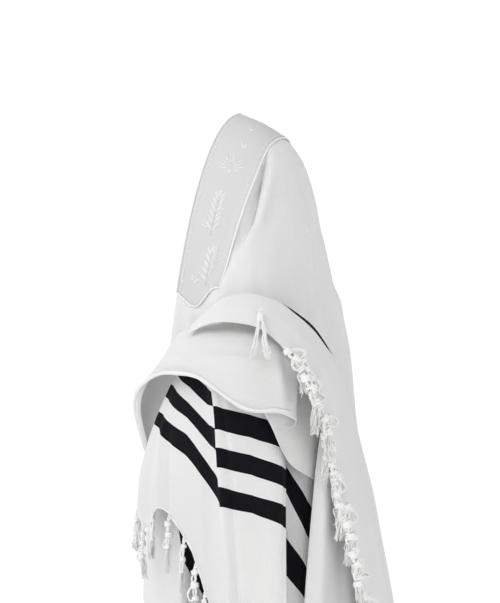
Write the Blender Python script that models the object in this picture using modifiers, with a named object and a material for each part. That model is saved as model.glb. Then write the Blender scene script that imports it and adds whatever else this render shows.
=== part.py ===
"""Tallit (prayer shawl) as worn: over the head, over the left arm, and thrown over the left shoulder.

The wearer faces -Y, their left is +X and up is +Z. The origin is the underside of the cloth at the crown.
Tables are in millimetres. Pieces on the left side are laid out as seen from there: "across" runs from the
wearer's front to their back, "toward" runs out to the onlooker and "height" is up.
"""
import math

import bmesh
import bpy
import numpy as np
from mathutils import Vector

MM = 0.001
CLOTH = 2.0 * MM
BAND_CLOTH = 1.2 * MM
BAND_LIFT = 2.0 * MM
VIEW_ANGLE = math.radians(110.0)

HOOD_ROWS = 27
HOOD_HALF_COLUMNS = 18
BAND_HALF_COLUMNS = 15
BAND_ROWS = 5

# Bows of cloth over the head and down the back. Each runs from the crown line to a left and a right end.
BOW_COLUMNS = (
    "crown_y", "crown_z", "left_x", "left_y", "left_z",
    "right_x", "right_y", "right_z", "round", "lean",
)
BOWS = {
    "front edge": (-34, 13, 102, -132, -420, -104, -134, -424, 2.0, 0.50),
    "band middle": (8, -4, 122, -96, -470, -128, -102, -478, 2.2, 0.70),
    "band back edge": (48, -31, 156, -52, -428, -152, -84, -480, 2.4, 0.90),
    "side": (70, -58, 176, -10, -428, -184, -68, -520, 2.2, 1.00),
    "back of head": (90, -106, 182, 22, -434, -208, -58, -570, 1.95, 1.10),
    "occiput": (105, -172, 176, 52, -474, -230, -50, -630, 1.85, 1.10),
    "nape": (123, -280, 160, 74, -545, -244, -46, -690, 1.85, 1.10),
    "shoulders": (146, -420, 148, 82, -650, -256, -44, -770, 2.0, 1.10),
    "upper back": (162, -560, 148, 86, -760, -264, -44, -850, 2.2, 1.10),
    "waist": (182, -730, 150, 90, -890, -272, -44, -950, 2.2, 1.10),
    "hips": (202, -930, 152, 94, -1040, -278, -44, -1065, 2.2, 1.10),
    "hem": (222, -1180, 156, 98, -1170, -284, -44, -1165, 2.2, 1.10),
}

# Each sheet is a net: a row for each fold line and a column for each station along it,
# with (across, toward, height) in each cell.
ARM_STATIONS = ("shoulder", "upper arm", "elbow", "hem")
ARM_LINES = {
    "back": ((112, 150, -470), (110, 162, -570), (104, 182, -720), (96, 200, -1095)),
    "recess": ((90, 176, -455), (92, 188, -560), (86, 206, -715), (78, 222, -1092)),
    "gutter": ((58, 182, -448), (50, 204, -545), (43, 220, -705), (40, 234, -1088)),
    "back fold": ((44, 194, -438), (48, 230, -540), (49, 250, -700), (52, 264, -1084)),
    "middle": ((-22, 210, -415), (-16, 250, -530), (-10, 266, -690), (-4, 282, -1052)),
    "front fold": ((-92, 190, -405), (-72, 244, -520), (-62, 264, -680), (-50, 284, -945)),
    "front foot": ((-102, 176, -405), (-88, 222, -515), (-80, 244, -660), (-76, 262, -882)),
    "front middle": ((-114, 152, -408), (-124, 186, -505), (-128, 202, -600), (-128, 212, -744)),
    "pleat back": ((-122, 136, -410), (-156, 148, -505), (-176, 152, -590), (-181, 152, -692)),
    "pleat front": ((-124, 126, -412), (-164, 132, -508), (-186, 132, -600), (-192, 128, -727)),
    "long edge": ((-128, 112, -415), (-177, 112, -520), (-204, 106, -600), (-217, 98, -702)),
    "turn": ((-117.2, 99.5, -415.7), (-166, 98, -520), (-192, 92, -600), (-203, 84, -700)),
}

ROLL_LINES = ("inner", "upper", "ridge", "belly", "edge", "turn")
ROLL_STATIONS = {
    "collar": (
        (-100, -156, -444), (-104, -159, -450), (-108, -164, -458),
        (-111, -167, -468), (-113, -170, -478), (-109, -166, -475),
    ),
    "breast": (
        (-114, -118, -438), (-126, -122, -446), (-138, -126, -462),
        (-146, -130, -488), (-149, -132, -514), (-144, -130, -510),
    ),
    "chin": (
        (-137, -55, -436), (-158, -59, -450), (-174, -62, -474),
        (-187, -65, -514), (-191, -64, -562), (-185, -62, -558),
    ),
    "chest": (
        (-160, 6, -418), (-182, 0, -444), (-197, 2, -480),
        (-204, 12, -535), (-198, 32, -600), (-191, 38, -596),
    ),
    "front": (
        (-158, 62, -402), (-178, 48, -434), (-202, 46, -468),
        (-216, 56, -500), (-217, 76, -527), (-209, 82, -523),
    ),
    "turn": (
        (-148, 104, -388), (-170, 92, -426), (-196, 84, -456),
        (-213, 88, -480), (-215, 106, -491), (-206, 108, -490),
    ),
    "cuff": (
        (-134, 146, -376), (-153, 150, -402), (-167, 150, -427),
        (-179, 150, -446), (-185, 145, -456), (-179, 135, -452),
    ),
    "arm front": (
        (-110, 164, -368), (-127, 192, -392), (-138, 202, -418),
        (-146, 203, -441), (-148, 190, -451), (-143, 180, -446),
    ),
    "arm": (
        (-76, 176, -362), (-100, 212, -384), (-112, 232, -423),
        (-114, 232, -443), (-113, 220, -455), (-110, 208, -449),
    ),
    "shoulder": (
        (-34, 188, -358), (-61, 236, -386), (-74, 258, -424),
        (-80, 266, -456), (-82, 254, -475), (-80, 240, -467),
    ),
    "outer": (
        (18, 194, -362), (-9, 256, -392), (-12, 276, -424),
        (-20, 300, -486), (-23, 290, -516), (-22, 272, -508),
    ),
    "back": (
        (60, 194, -378), (44, 262, -412), (42, 272, -440),
        (43, 292, -492), (41, 284, -521), (40, 264, -513),
    ),
    "tip": (
        (84, 186, -406), (76, 250, -440), (72, 254, -466),
        (69, 264, -507), (67, 256, -533), (62.6, 239.1, -525.6),
    ),
}


UNDERFOLD_LINES = ("top", "upper", "edge", "turn")
UNDERFOLD_STATIONS = {
    "under roll": ((52, 212, -430), (30, 236, -470), (8, 262, -516), (12, 253, -514)),
    "first": ((68, 210, -434), (48, 236, -488), (22, 268, -540), (27, 258, -538)),
    "second": ((86, 206, -440), (68, 232, -520), (43, 268, -586), (48, 258, -582)),
    "third": ((102, 198, -448), (84, 222, -544), (57, 260, -609), (61, 248, -604)),
    "fourth": ((116, 186, -460), (100, 206, -560), (84, 232, -628), (86, 221, -620)),
    "behind": ((128, 172, -476), (116, 182, -580), (106, 188, -640), (105, 176.2, -632)),
}

FALL_STATIONS = ("top", "arm", "elbow", "frame foot", "hem")
FALL_LINES = {
    "turn": ((126, 192, -500), (114, 206, -592), (104, 214, -700), (92, 224, -850), (82, 232, -1108)),
    "left edge": ((120, 206, -498), (105, 224, -592), (94, 234, -700), (82, 244, -850), (70, 254, -1110)),
    "crest": ((130, 210, -496), (122, 228, -592), (114, 240, -700), (105, 250, -850), (96, 262, -1115)),
    "valley": ((141, 188, -494), (140, 202, -592), (138, 212, -700), (134, 220, -850), (130, 230, -1118)),
    "crest two": ((148, 160, -492), (154, 172, -592), (158, 184, -700), (164, 196, -850), (174, 204, -1122)),
    "back": ((150, 120, -490), (162, 126, -592), (174, 130, -700), (190, 136, -850), (206, 140, -1126)),
}

FLAP_LINES = ("fringed edge", "lower", "upper", "rim", "turn")
FLAP_STATIONS = {
    "tip": ((-124, 196, -379), (-122, 190, -374), (-121, 184, -370), (-120, 178, -366), (-114.3, 170.5, -371)),
    "front": ((-99, 222, -366), (-98, 216, -356), (-97, 206, -349), (-95, 194, -343), (-88, 182, -345)),
    "rise": ((-70, 240, -359), (-67, 234, -344), (-65, 222, -330), (-63, 204, -317), (-56, 188, -322)),
    "top": ((-34, 252, -361), (-31, 244, -342), (-29, 230, -324), (-27, 208, -309), (-23, 186, -318)),
    "corner": ((5, 266, -371), (8, 256, -350), (10, 238, -330), (11, 212, -314), (13, 184, -326)),
    "fall": ((32, 274, -392), (36, 260, -370), (40, 236, -346), (43, 206, -327), (42, 178, -342)),
    "shoulder": ((56, 280, -418), (62, 262, -394), (69, 232, -366), (74, 196, -347), (72, 170, -362)),
    "behind": ((72, 284, -446), (82, 262, -418), (91, 226, -388), (97, 186, -366), (94, 162, -384)),
    "blade": ((88, 284, -484), (101, 256, -452), (113, 216, -420), (121, 172, -399), (116, 150, -418)),
    "ribs": ((107, 272, -524), (123, 240, -492), (136, 200, -464), (145, 152, -444), (139, 132, -466)),
    "side": ((117, 258, -582), (135, 226, -556), (153, 182, -530), (166, 122, -510), (168, 84, -532)),
    "waist": ((130, 250, -648), (150, 218, -630), (172, 168, -612), (188, 92, -594), (188, 14, -610)),
    "hip": ((145, 246, -708), (166, 214, -694), (189, 162, -680), (206, 82, -666), (206, -6, -680)),
    "thigh": ((161, 242, -775), (183, 208, -765), (207, 154, -757), (222, 74, -750), (221, -18, -760)),
    "foot": ((178, 238, -857), (200, 204, -853), (225, 150, -848), (240, 68, -844), (238, -28, -850)),
    "hem": ((214, 232, -1100), (238, 198, -1104), (260, 144, -1108), (272, 62, -1112), (268, -42, -1116)),
}

# The right half of the cloth, brought across the chest: (left, back, height) in the wearer's own frame.
CROSSING_STATIONS = ("neckline", "belly", "hem")
CROSSING_LINES = {
    "right back": ((-184, 36, -600), (-226, 40, -770), (-252, 42, -1130)),
    "right side": ((-186, -36, -560), (-230, -32, -750), (-258, -32, -1128)),
    "right front": ((-142, -112, -478), (-198, -130, -690), (-228, -140, -1115)),
    "right fold": ((-98, -140, -464), (-128, -184, -690), (-146, -204, -1105)),
    "valley": ((-54, -138, -470), (-66, -180, -690), (-80, -200, -1095)),
    "middle": ((-6, -144, -480), (-14, -192, -690), (-26, -218, -1085)),
    "left fold": ((54, -140, -484), (60, -182, -690), (50, -206, -1075)),
    "front turn": ((96, -124, -480), (112, -164, -690), (108, -176, -1066)),
    "left front": ((121.1, -96, -470.2), (148, -122, -690), (150, -132, -1062)),
    "left inner": ((144, -60, -470), (172, -76, -690), (182, -84, -1060)),
}

# Soft creases pressed along paths as seen from an angle round the wearer.
CREASE_COLUMNS = ("piece", "seen_from", "path", "width", "depth")
CREASES = (
    ("hood_and_back", 110, ((6, -70), (-2, -110), (-14, -190), (-44, -262)), 13, -7),
    ("hood_and_back", 110, ((18, -60), (11, -104), (0, -146), (-18, -196), (-66, -320)), 12, 7),
    ("hood_and_back", 110, ((84, -110), (98, -180), (106, -243), (113, -310), (124, -390)), 11, -6),
    ("hood_and_back", 110, ((-116, -320), (-118, -350), (-124, -400)), 8, 4),
    ("hood_and_back", 250, ((4, -80), (-6, -150), (-26, -230), (-50, -330)), 14, 7),
    ("hood_and_back", 250, ((-60, -230), (-84, -360), (-70, -520)), 18, -9),
    ("hood_and_back", 180, ((-60, -300), (-84, -560), (-96, -1190)), 26, -12),
    ("hood_and_back", 180, ((20, -330), (34, -620), (40, -1190)), 28, 12),
    ("hood_and_back", 180, ((110, -420), (136, -700), (150, -1190)), 26, -13),
    ("front_crossing", 0, ((-150, -470), (-70, -560), (60, -600)), 24, -8),
    ("throw_fall", 110, ((150, -560), (146, -1100)), 12, -5),
)

# Fringe: locks hanging from a narrow strip that is parted from the cloth's edge.
FRINGE_LENGTH = 86
FRINGE_ROOT = 4.4
STRIP_WALL = 2.4
STRIP_DEPTH = 3.0
STRIP_GAP = 1.0
TANGENT_REACH = 8.0
LOCK_COLUMNS = ("share of the length", "half width")
LOCK_SECTIONS = {
    "bend": (0.06, 1.5),
    "cord": (0.45, 1.3),
    "knot top": (0.50, 2.5),
    "knot foot": (0.57, 2.7),
    "brush": (0.64, 1.8),
    "tip": (1.00, 2.5),
}
FRINGE_COLUMNS = ("edge of", "locks", "from", "to", "share of lean away from the edge")
FRINGES = {
    "fringe_throw": ("throw_flap", 34, 0.250, 0.985, 0.30),
    "fringe_arm": ("left_arm_drape", 24, 0.060, 0.960, 0.05),
}

# Corner tassels: a wound head and eight strands in two bundles.
TASSEL_HEAD_WIDTH = 12.0
TASSEL_HEAD_DEPTH = 6.0
TASSEL_HEAD_HEIGHT = 9.0
TASSEL_GAP = 0.8
TASSEL_COLUMNS = ("across", "toward", "height", "length", "bundle spread", "lean out")
TASSELS = {
    "corner_tassel_shoulder": (4, 268, -376.5, 60, 15, 26),
    "corner_tassel_arm": (-216, 96, -703.6, 50, 3, 0),
    "corner_tassel_back": (216, 232, -1101, 50, 4, 0),
    "corner_tassel_side": (95, 199, -1095.5, 50, 4, 0),
}


def curve(keys, values, at):
    """A smooth curve through the values at the keys, read at other places."""
    keys = np.asarray(keys, float)
    values = np.asarray(values, float)
    slopes = np.gradient(values, keys, axis=0)
    index = np.clip(np.searchsorted(keys, at, side="right") - 1, 0, len(keys) - 2)
    step = keys[index + 1] - keys[index]
    share = (np.asarray(at) - keys[index]) / step
    shape = (-1,) + (1,) * (values.ndim - 1)
    share = share.reshape(shape)
    step = step.reshape(shape)
    first = values[index] * (2 * share**3 - 3 * share**2 + 1)
    second = values[index + 1] * (3 * share**2 - 2 * share**3)
    rise = slopes[index] * step * (share**3 - 2 * share**2 + share)
    fall = slopes[index + 1] * step * (share**3 - share**2)
    return first + second + rise + fall


def spread(points):
    """Keys for a list of points, by the mean distance from each to the next."""
    steps = np.linalg.norm(np.diff(points, axis=0), axis=-1)
    steps = steps.reshape(len(points) - 1, -1).mean(axis=1)
    return np.concatenate(([0.0], np.cumsum(steps)))


def from_side(points):
    """Turns (across, toward, height) in millimetres into the wearer's frame in metres."""
    cos, sin = math.cos(VIEW_ANGLE), math.sin(VIEW_ANGLE)
    points = np.asarray(points, float) * MM
    across, toward, height = points[..., 0], points[..., 1], points[..., 2]
    return np.stack((across * cos + toward * sin, across * sin - toward * cos, height), axis=-1)


def net(control, rows, columns):
    """A grid through a net of control points, rows along the first axis."""
    first = spread(control)
    grid = curve(first, control, np.linspace(first[0], first[-1], rows))
    grid = np.swapaxes(grid, 0, 1)
    second = spread(np.swapaxes(control, 0, 1))
    grid = curve(second, grid, np.linspace(second[0], second[-1], columns))
    return np.swapaxes(grid, 0, 1)


def hood_grid():
    """The head and back cloth: bows from left end over the crown line to right end."""
    table = np.array(list(BOWS.values()), float)
    keys = spread(table[:, 0:2])
    band_end = keys[2]
    band = np.linspace(0.0, band_end, BAND_ROWS)
    rest = np.linspace(0.0, 1.0, HOOD_ROWS - BAND_ROWS + 1)[1:] ** 1.25
    at = np.concatenate((band, band_end + (keys[-1] - band_end) * rest))
    bows = curve(keys, table, at)
    rows = []
    for bow in bows:
        crown = Vector((0.0, bow[0], bow[1]))
        row = []
        for column in range(-HOOD_HALF_COLUMNS, HOOD_HALF_COLUMNS + 1):
            turn = abs(column) / HOOD_HALF_COLUMNS * math.pi / 2
            out = math.sin(turn) ** (2.0 / bow[8])
            down = 1.0 - max(math.cos(turn), 0.0) ** (2.0 / bow[8])
            end = bow[2:5] if column < 0 else bow[5:8]
            row.append((end[0] * out,
                        crown.y + (end[1] - crown.y) * down ** bow[9],
                        crown.z + (end[2] - crown.z) * down))
        rows.append(row)
    return np.array(rows) * MM


def normals(grid):
    """Outward unit normals of a grid."""
    along = np.gradient(grid, axis=1)
    down = np.gradient(grid, axis=0)
    normal = np.cross(along, down)
    normal /= np.linalg.norm(normal, axis=-1, keepdims=True) + 1e-12
    outward = grid * np.array((1.0, 1.0, 0.15))
    if (normal * outward).sum() < 0:
        normal = -normal
    return normal


def path_distance(points, path):
    """Distance of flat points from a broken line."""
    best = np.full(points.shape[:-1], 1e9)
    for start, end in zip(path[:-1], path[1:]):
        line = end - start
        share = np.clip(((points - start) @ line) / (line @ line), 0.0, 1.0)
        near = start + share[..., None] * line
        best = np.minimum(best, np.linalg.norm(points - near, axis=-1))
    return best


def creased(name, grid):
    """The grid with its creases raised or pressed in along the normals."""
    normal = normals(grid)
    shift = np.zeros(grid.shape[:2])
    for piece, seen_from, path, width, depth in CREASES:
        if piece != name:
            continue
        angle = math.radians(seen_from)
        cos, sin = math.cos(angle), math.sin(angle)
        flat = np.stack((grid[..., 0] * cos + grid[..., 1] * sin, grid[..., 2]), axis=-1)
        facing = np.clip(normal[..., 0] * sin - normal[..., 1] * cos, 0.0, 0.5) * 2.0
        gap = path_distance(flat, np.array(path, float) * MM)
        shift += depth * MM * np.exp(-((gap / (width * MM)) ** 2)) * facing
    return grid + normal * shift[..., None]


def material(name, colour, roughness):
    """A plain material for one node."""
    made = bpy.data.materials.new(name)
    made.use_nodes = True
    shader = made.node_tree.nodes["Principled BSDF"]
    shader.inputs["Base Color"].default_value = (*colour, 1.0)
    shader.inputs["Roughness"].default_value = roughness
    return made


def add_object(name, vertices, faces, colour, roughness, collection):
    """A named object from vertices and faces, smooth shaded."""
    mesh = bpy.data.meshes.new(name)
    mesh.from_pydata([tuple(point) for point in vertices], [], faces)
    mesh.materials.append(material(name + "_cloth", colour, roughness))
    for face in mesh.polygons:
        face.use_smooth = True
    made = bpy.data.objects.new(name, mesh)
    collection.objects.link(made)
    return made


def add_sheet(name, grid, wall, colour, collection):
    """A sheet of cloth: the grid as its outer face, with the wall built inward."""
    rows, columns = grid.shape[:2]
    along = np.gradient(grid, axis=1)
    down = np.gradient(grid, axis=0)
    flip = (np.cross(along, down) * grid * np.array((1.0, 1.0, 0.15))).sum() < 0
    faces = []
    for row in range(rows - 1):
        for column in range(columns - 1):
            corner = row * columns + column
            face = (corner, corner + 1, corner + columns + 1, corner + columns)
            faces.append(face[::-1] if flip else face)
    made = add_object(name, grid.reshape(-1, 3), faces, colour, 0.9, collection)
    shell = made.modifiers.new("wall", "SOLIDIFY")
    shell.thickness = wall
    shell.offset = -1.0
    shell.use_rim = True
    shell.use_even_offset = False
    return made


def add_tufted(name, top, foot, roots, strands, colour, collection):
    """A backing between two grids of points, with strands drawn out of cells of its foot."""
    wide, deep = top.shape[:2]
    verts = [point for grid in (top, foot) for line in grid for point in line]
    faces = []

    def at(layer, i, j):
        return layer * wide * deep + i * deep + j

    for i in range(wide - 1):
        for j in range(deep - 1):
            faces.append((at(0, i, j), at(0, i + 1, j), at(0, i + 1, j + 1), at(0, i, j + 1)))
            if (i, j) not in roots:
                faces.append((at(1, i, j), at(1, i, j + 1), at(1, i + 1, j + 1), at(1, i + 1, j)))
    for i in range(wide - 1):
        faces.append((at(0, i, 0), at(1, i, 0), at(1, i + 1, 0), at(0, i + 1, 0)))
        last = deep - 1
        faces.append((at(0, i, last), at(0, i + 1, last), at(1, i + 1, last), at(1, i, last)))
    for j in range(deep - 1):
        faces.append((at(0, 0, j), at(0, 0, j + 1), at(1, 0, j + 1), at(1, 0, j)))
        last = wide - 1
        faces.append((at(0, last, j), at(1, last, j), at(1, last, j + 1), at(0, last, j + 1)))
    for (i, j), rings in zip(roots, strands):
        ring = (at(1, i, j), at(1, i, j + 1), at(1, i + 1, j + 1), at(1, i + 1, j))
        for centre, side, out in rings:
            start = len(verts)
            verts += [centre - side - out, centre - side + out, centre + side + out, centre + side - out]
            new = tuple(range(start, start + 4))
            for corner in range(4):
                after = (corner + 1) % 4
                faces.append((ring[corner], ring[after], new[after], new[corner]))
            ring = new
        faces.append(ring)
    made = add_object(name, verts, faces, colour, 0.85, collection)
    tidy = bmesh.new()
    tidy.from_mesh(made.data)
    bmesh.ops.recalc_face_normals(tidy, faces=tidy.faces)
    tidy.to_mesh(made.data)
    tidy.free()
    return made


def unit(vector):
    """The vector at length one."""
    return vector / np.linalg.norm(vector)


def strand_rings(middle, hang, away, tangent, outward, length):
    """Sections of one lock of fringe, turned to follow on from its root."""
    side = tangent - away * abs(tangent @ hang)
    side = unit(side - hang * (side @ hang))
    out = unit(outward - hang * (outward @ hang) - side * (outward @ side))
    rings = []
    for share, width in LOCK_SECTIONS.values():
        centre = middle + hang * length * share
        rings.append((centre, side * width * MM, out * width * MM))
    return rings


def add_fringe(name, grid, colour, collection):
    """A row of locks hanging from one narrow strip along the first column of a grid."""
    _, locks, start, end, lean = FRINGES[name]
    edge = grid[:, 0]
    outs = normals(grid)[:, 0]
    aways = grid[:, 0] - grid[:, 1]
    keys = spread(edge)

    def read(values, at):
        return np.array([np.interp(at, keys, values[:, axis]) for axis in range(3)])

    def station(at):
        """Place on the edge, with the ways along it, out of the cloth and away from it."""
        tangent = unit(read(edge, at + TANGENT_REACH * MM) - read(edge, at - TANGENT_REACH * MM))
        away = read(aways, at)
        away = unit(away - tangent * (away @ tangent))
        out = unit(np.cross(tangent, away))
        if out @ read(outs, at) < 0:
            out = -out
        return read(edge, at) - out * CLOTH * 0.5, tangent, away, out

    root = FRINGE_ROOT * 0.5 * MM
    lock_places = np.linspace(keys[-1] * start, keys[-1] * end, locks)
    marks = [(key, -1) for key in keys if np.abs(lock_places - key).min() > root + 1.0 * MM]
    for number, at in enumerate(lock_places):
        marks += [(at - root, number), (at + root, number)]
    low, high = lock_places[0] - 2 * root, lock_places[-1] + 2 * root
    marks = sorted(mark for mark in marks if low < mark[0] < high)
    top = []
    foot = []
    for at, _ in marks:
        place, _, away, out = station(at)
        wall = out * STRIP_WALL * 0.5 * MM
        place = place + away * STRIP_GAP * MM
        top.append((place - wall, place + wall))
        place = place + away * STRIP_DEPTH * MM
        foot.append((place - wall, place + wall))
    roots = []
    strands = []
    for index, (_, number) in enumerate(marks[:-1]):
        if number < 0 or marks[index + 1][1] != number:
            continue
        _, tangent, away, out = station(lock_places[number])
        middle = (foot[index][0] + foot[index][1] + foot[index + 1][0] + foot[index + 1][1]) / 4
        sway = 0.5 + 0.5 * math.sin(number * 2.4)
        hang = np.array((0.0, 0.0, -1.0)) + away * lean * (0.8 + 0.4 * sway)
        hang = hang + out * (0.05 + 0.05 * (number % 2))
        length = FRINGE_LENGTH * MM * (0.92 + 0.12 * sway)
        roots.append((index, 0))
        strands.append(strand_rings(middle, unit(hang), away, tangent, out, length))
    return add_tufted(name, np.array(top), np.array(foot), roots, strands, colour, collection)


def add_tassel(name, colour, collection):
    """A corner tassel: wound head with four strands in each of two bundles."""
    across, toward, height, length, spread_out, lean_out = TASSELS[name]
    side = from_side((1.0, 0.0, 0.0)) / MM
    out = from_side((0.0, 1.0, 0.0)) / MM
    place = from_side((across, toward, height))
    wide = np.linspace(-0.5, 0.5, 8) * TASSEL_HEAD_WIDTH
    deep = np.linspace(-0.5, 0.5, 4) * TASSEL_HEAD_DEPTH
    top = np.array([[place + (side * i * 0.8 + out * j * 0.8) * MM for j in deep] for i in wide])
    foot = np.array([[place + (side * i + out * j) * MM for j in deep] for i in wide])
    foot[..., 2] -= TASSEL_HEAD_HEIGHT * MM
    roots = [(i, j) for i in (0, 2, 4, 6) for j in (0, 2)]
    strands = []
    for i, j in roots:
        middle = (foot[i][j] + foot[i + 1][j + 1]) / 2
        bundle = -1.0 if i < 3 else 1.0
        rings = []
        for share in (0.15, 1.0):
            centre = middle + side * bundle * spread_out * share * MM
            centre = centre + side * (i - 3) * 0.25 * share * MM
            centre = centre + out * ((j - 1) * 0.6 + lean_out) * share * MM
            centre = centre + np.array((0.0, 0.0, -length * share * MM))
            rings.append((centre, side * 0.85 * MM, out * 0.95 * MM))
        strands.append(rings)
    return add_tufted(name, top, foot, roots, strands, colour, collection)


def main():
    """Builds every piece of the shawl into its own collection."""
    for item in list(bpy.data.objects):
        bpy.data.objects.remove(item, do_unlink=True)
    shawl = bpy.data.collections.new("prayer_shawl")
    bpy.context.scene.collection.children.link(shawl)
    white = (0.86, 0.86, 0.85)

    hood = creased("hood_and_back", hood_grid())
    add_sheet("hood_and_back", hood, CLOTH, white, shawl)

    first = HOOD_HALF_COLUMNS - BAND_HALF_COLUMNS
    last = HOOD_HALF_COLUMNS + BAND_HALF_COLUMNS + 1
    lifted = hood + normals(hood) * BAND_LIFT
    add_sheet("neckband", lifted[:BAND_ROWS, first:last], BAND_CLOTH, (0.92, 0.92, 0.93), shawl)

    arm = net(from_side(list(ARM_LINES.values())), 30, 17)
    arm = creased("left_arm_drape", arm)
    add_sheet("left_arm_drape", arm, CLOTH, (0.8, 0.8, 0.82), shawl)

    roll = net(from_side(list(ROLL_STATIONS.values())), 32, 14)
    add_sheet("shoulder_roll", roll, CLOTH, (0.88, 0.87, 0.85), shawl)

    fold = net(from_side(list(UNDERFOLD_STATIONS.values())), 12, 9)
    add_sheet("shoulder_underfold", fold, CLOTH, (0.84, 0.84, 0.84), shawl)

    fall = creased("throw_fall", net(from_side(list(FALL_LINES.values())), 15, 14))
    add_sheet("throw_fall", fall, CLOTH, (0.83, 0.84, 0.84), shawl)

    flap = net(from_side(list(FLAP_STATIONS.values())), 30, 13)
    add_sheet("throw_flap", flap, CLOTH, (0.87, 0.87, 0.87), shawl)

    crossing = creased("front_crossing", net(np.array(list(CROSSING_LINES.values()), float) * MM, 22, 12))
    add_sheet("front_crossing", crossing, CLOTH, (0.82, 0.82, 0.82), shawl)

    add_fringe("fringe_throw", flap, (0.93, 0.93, 0.9), shawl)
    add_fringe("fringe_arm", arm[::-1, ::-1], (0.93, 0.93, 0.9), shawl)
    for name in TASSELS:
        add_tassel(name, (0.93, 0.93, 0.9), shawl)


main()
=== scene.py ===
"""Looks of the prayer shawl: wool with dark stripes, satin neckband, knotted fringe, corner tassels.

The tables repeat the part's own, in millimetres, and the sheets are drawn through them at a finer mesh.
"""
import math

import bpy
import numpy as np
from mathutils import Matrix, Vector


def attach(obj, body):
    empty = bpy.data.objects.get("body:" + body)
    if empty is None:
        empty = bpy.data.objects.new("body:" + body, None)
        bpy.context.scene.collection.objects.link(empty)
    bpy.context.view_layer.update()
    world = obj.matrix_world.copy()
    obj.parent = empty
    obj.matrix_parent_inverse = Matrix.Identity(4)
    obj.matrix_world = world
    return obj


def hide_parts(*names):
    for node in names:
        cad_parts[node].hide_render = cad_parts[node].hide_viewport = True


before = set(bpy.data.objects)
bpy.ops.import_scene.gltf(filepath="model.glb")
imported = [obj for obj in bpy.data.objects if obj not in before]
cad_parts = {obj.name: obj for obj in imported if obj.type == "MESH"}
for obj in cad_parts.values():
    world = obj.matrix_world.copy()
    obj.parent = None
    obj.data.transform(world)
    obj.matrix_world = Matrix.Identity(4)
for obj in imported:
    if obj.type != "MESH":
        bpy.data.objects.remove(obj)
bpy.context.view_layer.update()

MM = 0.001
CLOTH = 2.0 * MM
BAND_CLOTH = 1.2 * MM
BAND_LIFT = 2.0 * MM
VIEW_ANGLE = math.radians(110.0)
DOWN = np.array((0.0, 0.0, -1.0))

# Fineness of the meshes.
HOOD_HALF_COLUMNS = 90
BAND_HALF_COLUMNS = 75
BAND_ROWS = 25
HOOD_ROWS = 125
FINENESS = {
    "left_arm_drape": (150, 100),
    "shoulder_roll": (170, 64),
    "shoulder_underfold": (50, 36),
    "throw_fall": (80, 80),
    "throw_flap": (190, 64),
    "front_crossing": (110, 70),
}

# Photo frame: pixels of the photo to millimetres across and up.
PIXEL = 1.8
ZERO_ACROSS = 258
ZERO_HEIGHT = 122
FRAME_WIDTH = 500
FRAME_HEIGHT = 603
CAMERA_DISTANCE = 12.0

# Bows over the head, a row for each: crown y and z, left end x, y and z, right end x, y and z, how round
# the bow is and how its ends lean.
BOWS = {
    "front edge": (-34, 13, 102, -132, -420, -104, -134, -424, 2.0, 0.50),
    "band middle": (8, -4, 122, -96, -470, -128, -102, -478, 2.2, 0.70),
    "band back edge": (48, -31, 156, -52, -428, -152, -84, -480, 2.4, 0.90),
    "side": (70, -58, 176, -10, -428, -184, -68, -520, 2.2, 1.00),
    "back of head": (90, -106, 182, 22, -434, -208, -58, -570, 1.95, 1.10),
    "occiput": (105, -172, 176, 52, -474, -230, -50, -630, 1.85, 1.10),
    "nape": (123, -280, 160, 74, -545, -244, -46, -690, 1.85, 1.10),
    "shoulders": (146, -420, 148, 82, -650, -256, -44, -770, 2.0, 1.10),
    "upper back": (162, -560, 148, 86, -760, -264, -44, -850, 2.2, 1.10),
    "waist": (182, -730, 150, 90, -890, -272, -44, -950, 2.2, 1.10),
    "hips": (202, -930, 152, 94, -1040, -278, -44, -1065, 2.2, 1.10),
    "hem": (222, -1180, 156, 98, -1170, -284, -44, -1165, 2.2, 1.10),
}

# Each sheet is a net: a row for each fold line and a column for each station along it,
# with (across, toward, height) in each cell. Columns: shoulder, upper arm, elbow, hem.
ARM_LINES = {
    "back": ((112, 150, -470), (110, 162, -570), (104, 182, -720), (96, 200, -1095)),
    "recess": ((90, 176, -455), (92, 188, -560), (86, 206, -715), (78, 222, -1092)),
    "gutter": ((58, 182, -448), (50, 204, -545), (43, 220, -705), (40, 234, -1088)),
    "back fold": ((44, 194, -438), (48, 230, -540), (49, 250, -700), (52, 264, -1084)),
    "middle": ((-22, 210, -415), (-16, 250, -530), (-10, 266, -690), (-4, 282, -1052)),
    "front fold": ((-92, 190, -405), (-72, 244, -520), (-62, 264, -680), (-50, 284, -945)),
    "front foot": ((-102, 176, -405), (-88, 222, -515), (-80, 244, -660), (-76, 262, -882)),
    "front middle": ((-114, 152, -408), (-124, 186, -505), (-128, 202, -600), (-128, 212, -744)),
    "pleat back": ((-122, 136, -410), (-156, 148, -505), (-176, 152, -590), (-181, 152, -692)),
    "pleat front": ((-124, 126, -412), (-164, 132, -508), (-186, 132, -600), (-192, 128, -727)),
    "long edge": ((-128, 112, -415), (-177, 112, -520), (-204, 106, -600), (-217, 98, -702)),
    "turn": ((-117.2, 99.5, -415.7), (-166, 98, -520), (-192, 92, -600), (-203, 84, -700)),
}

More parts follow.
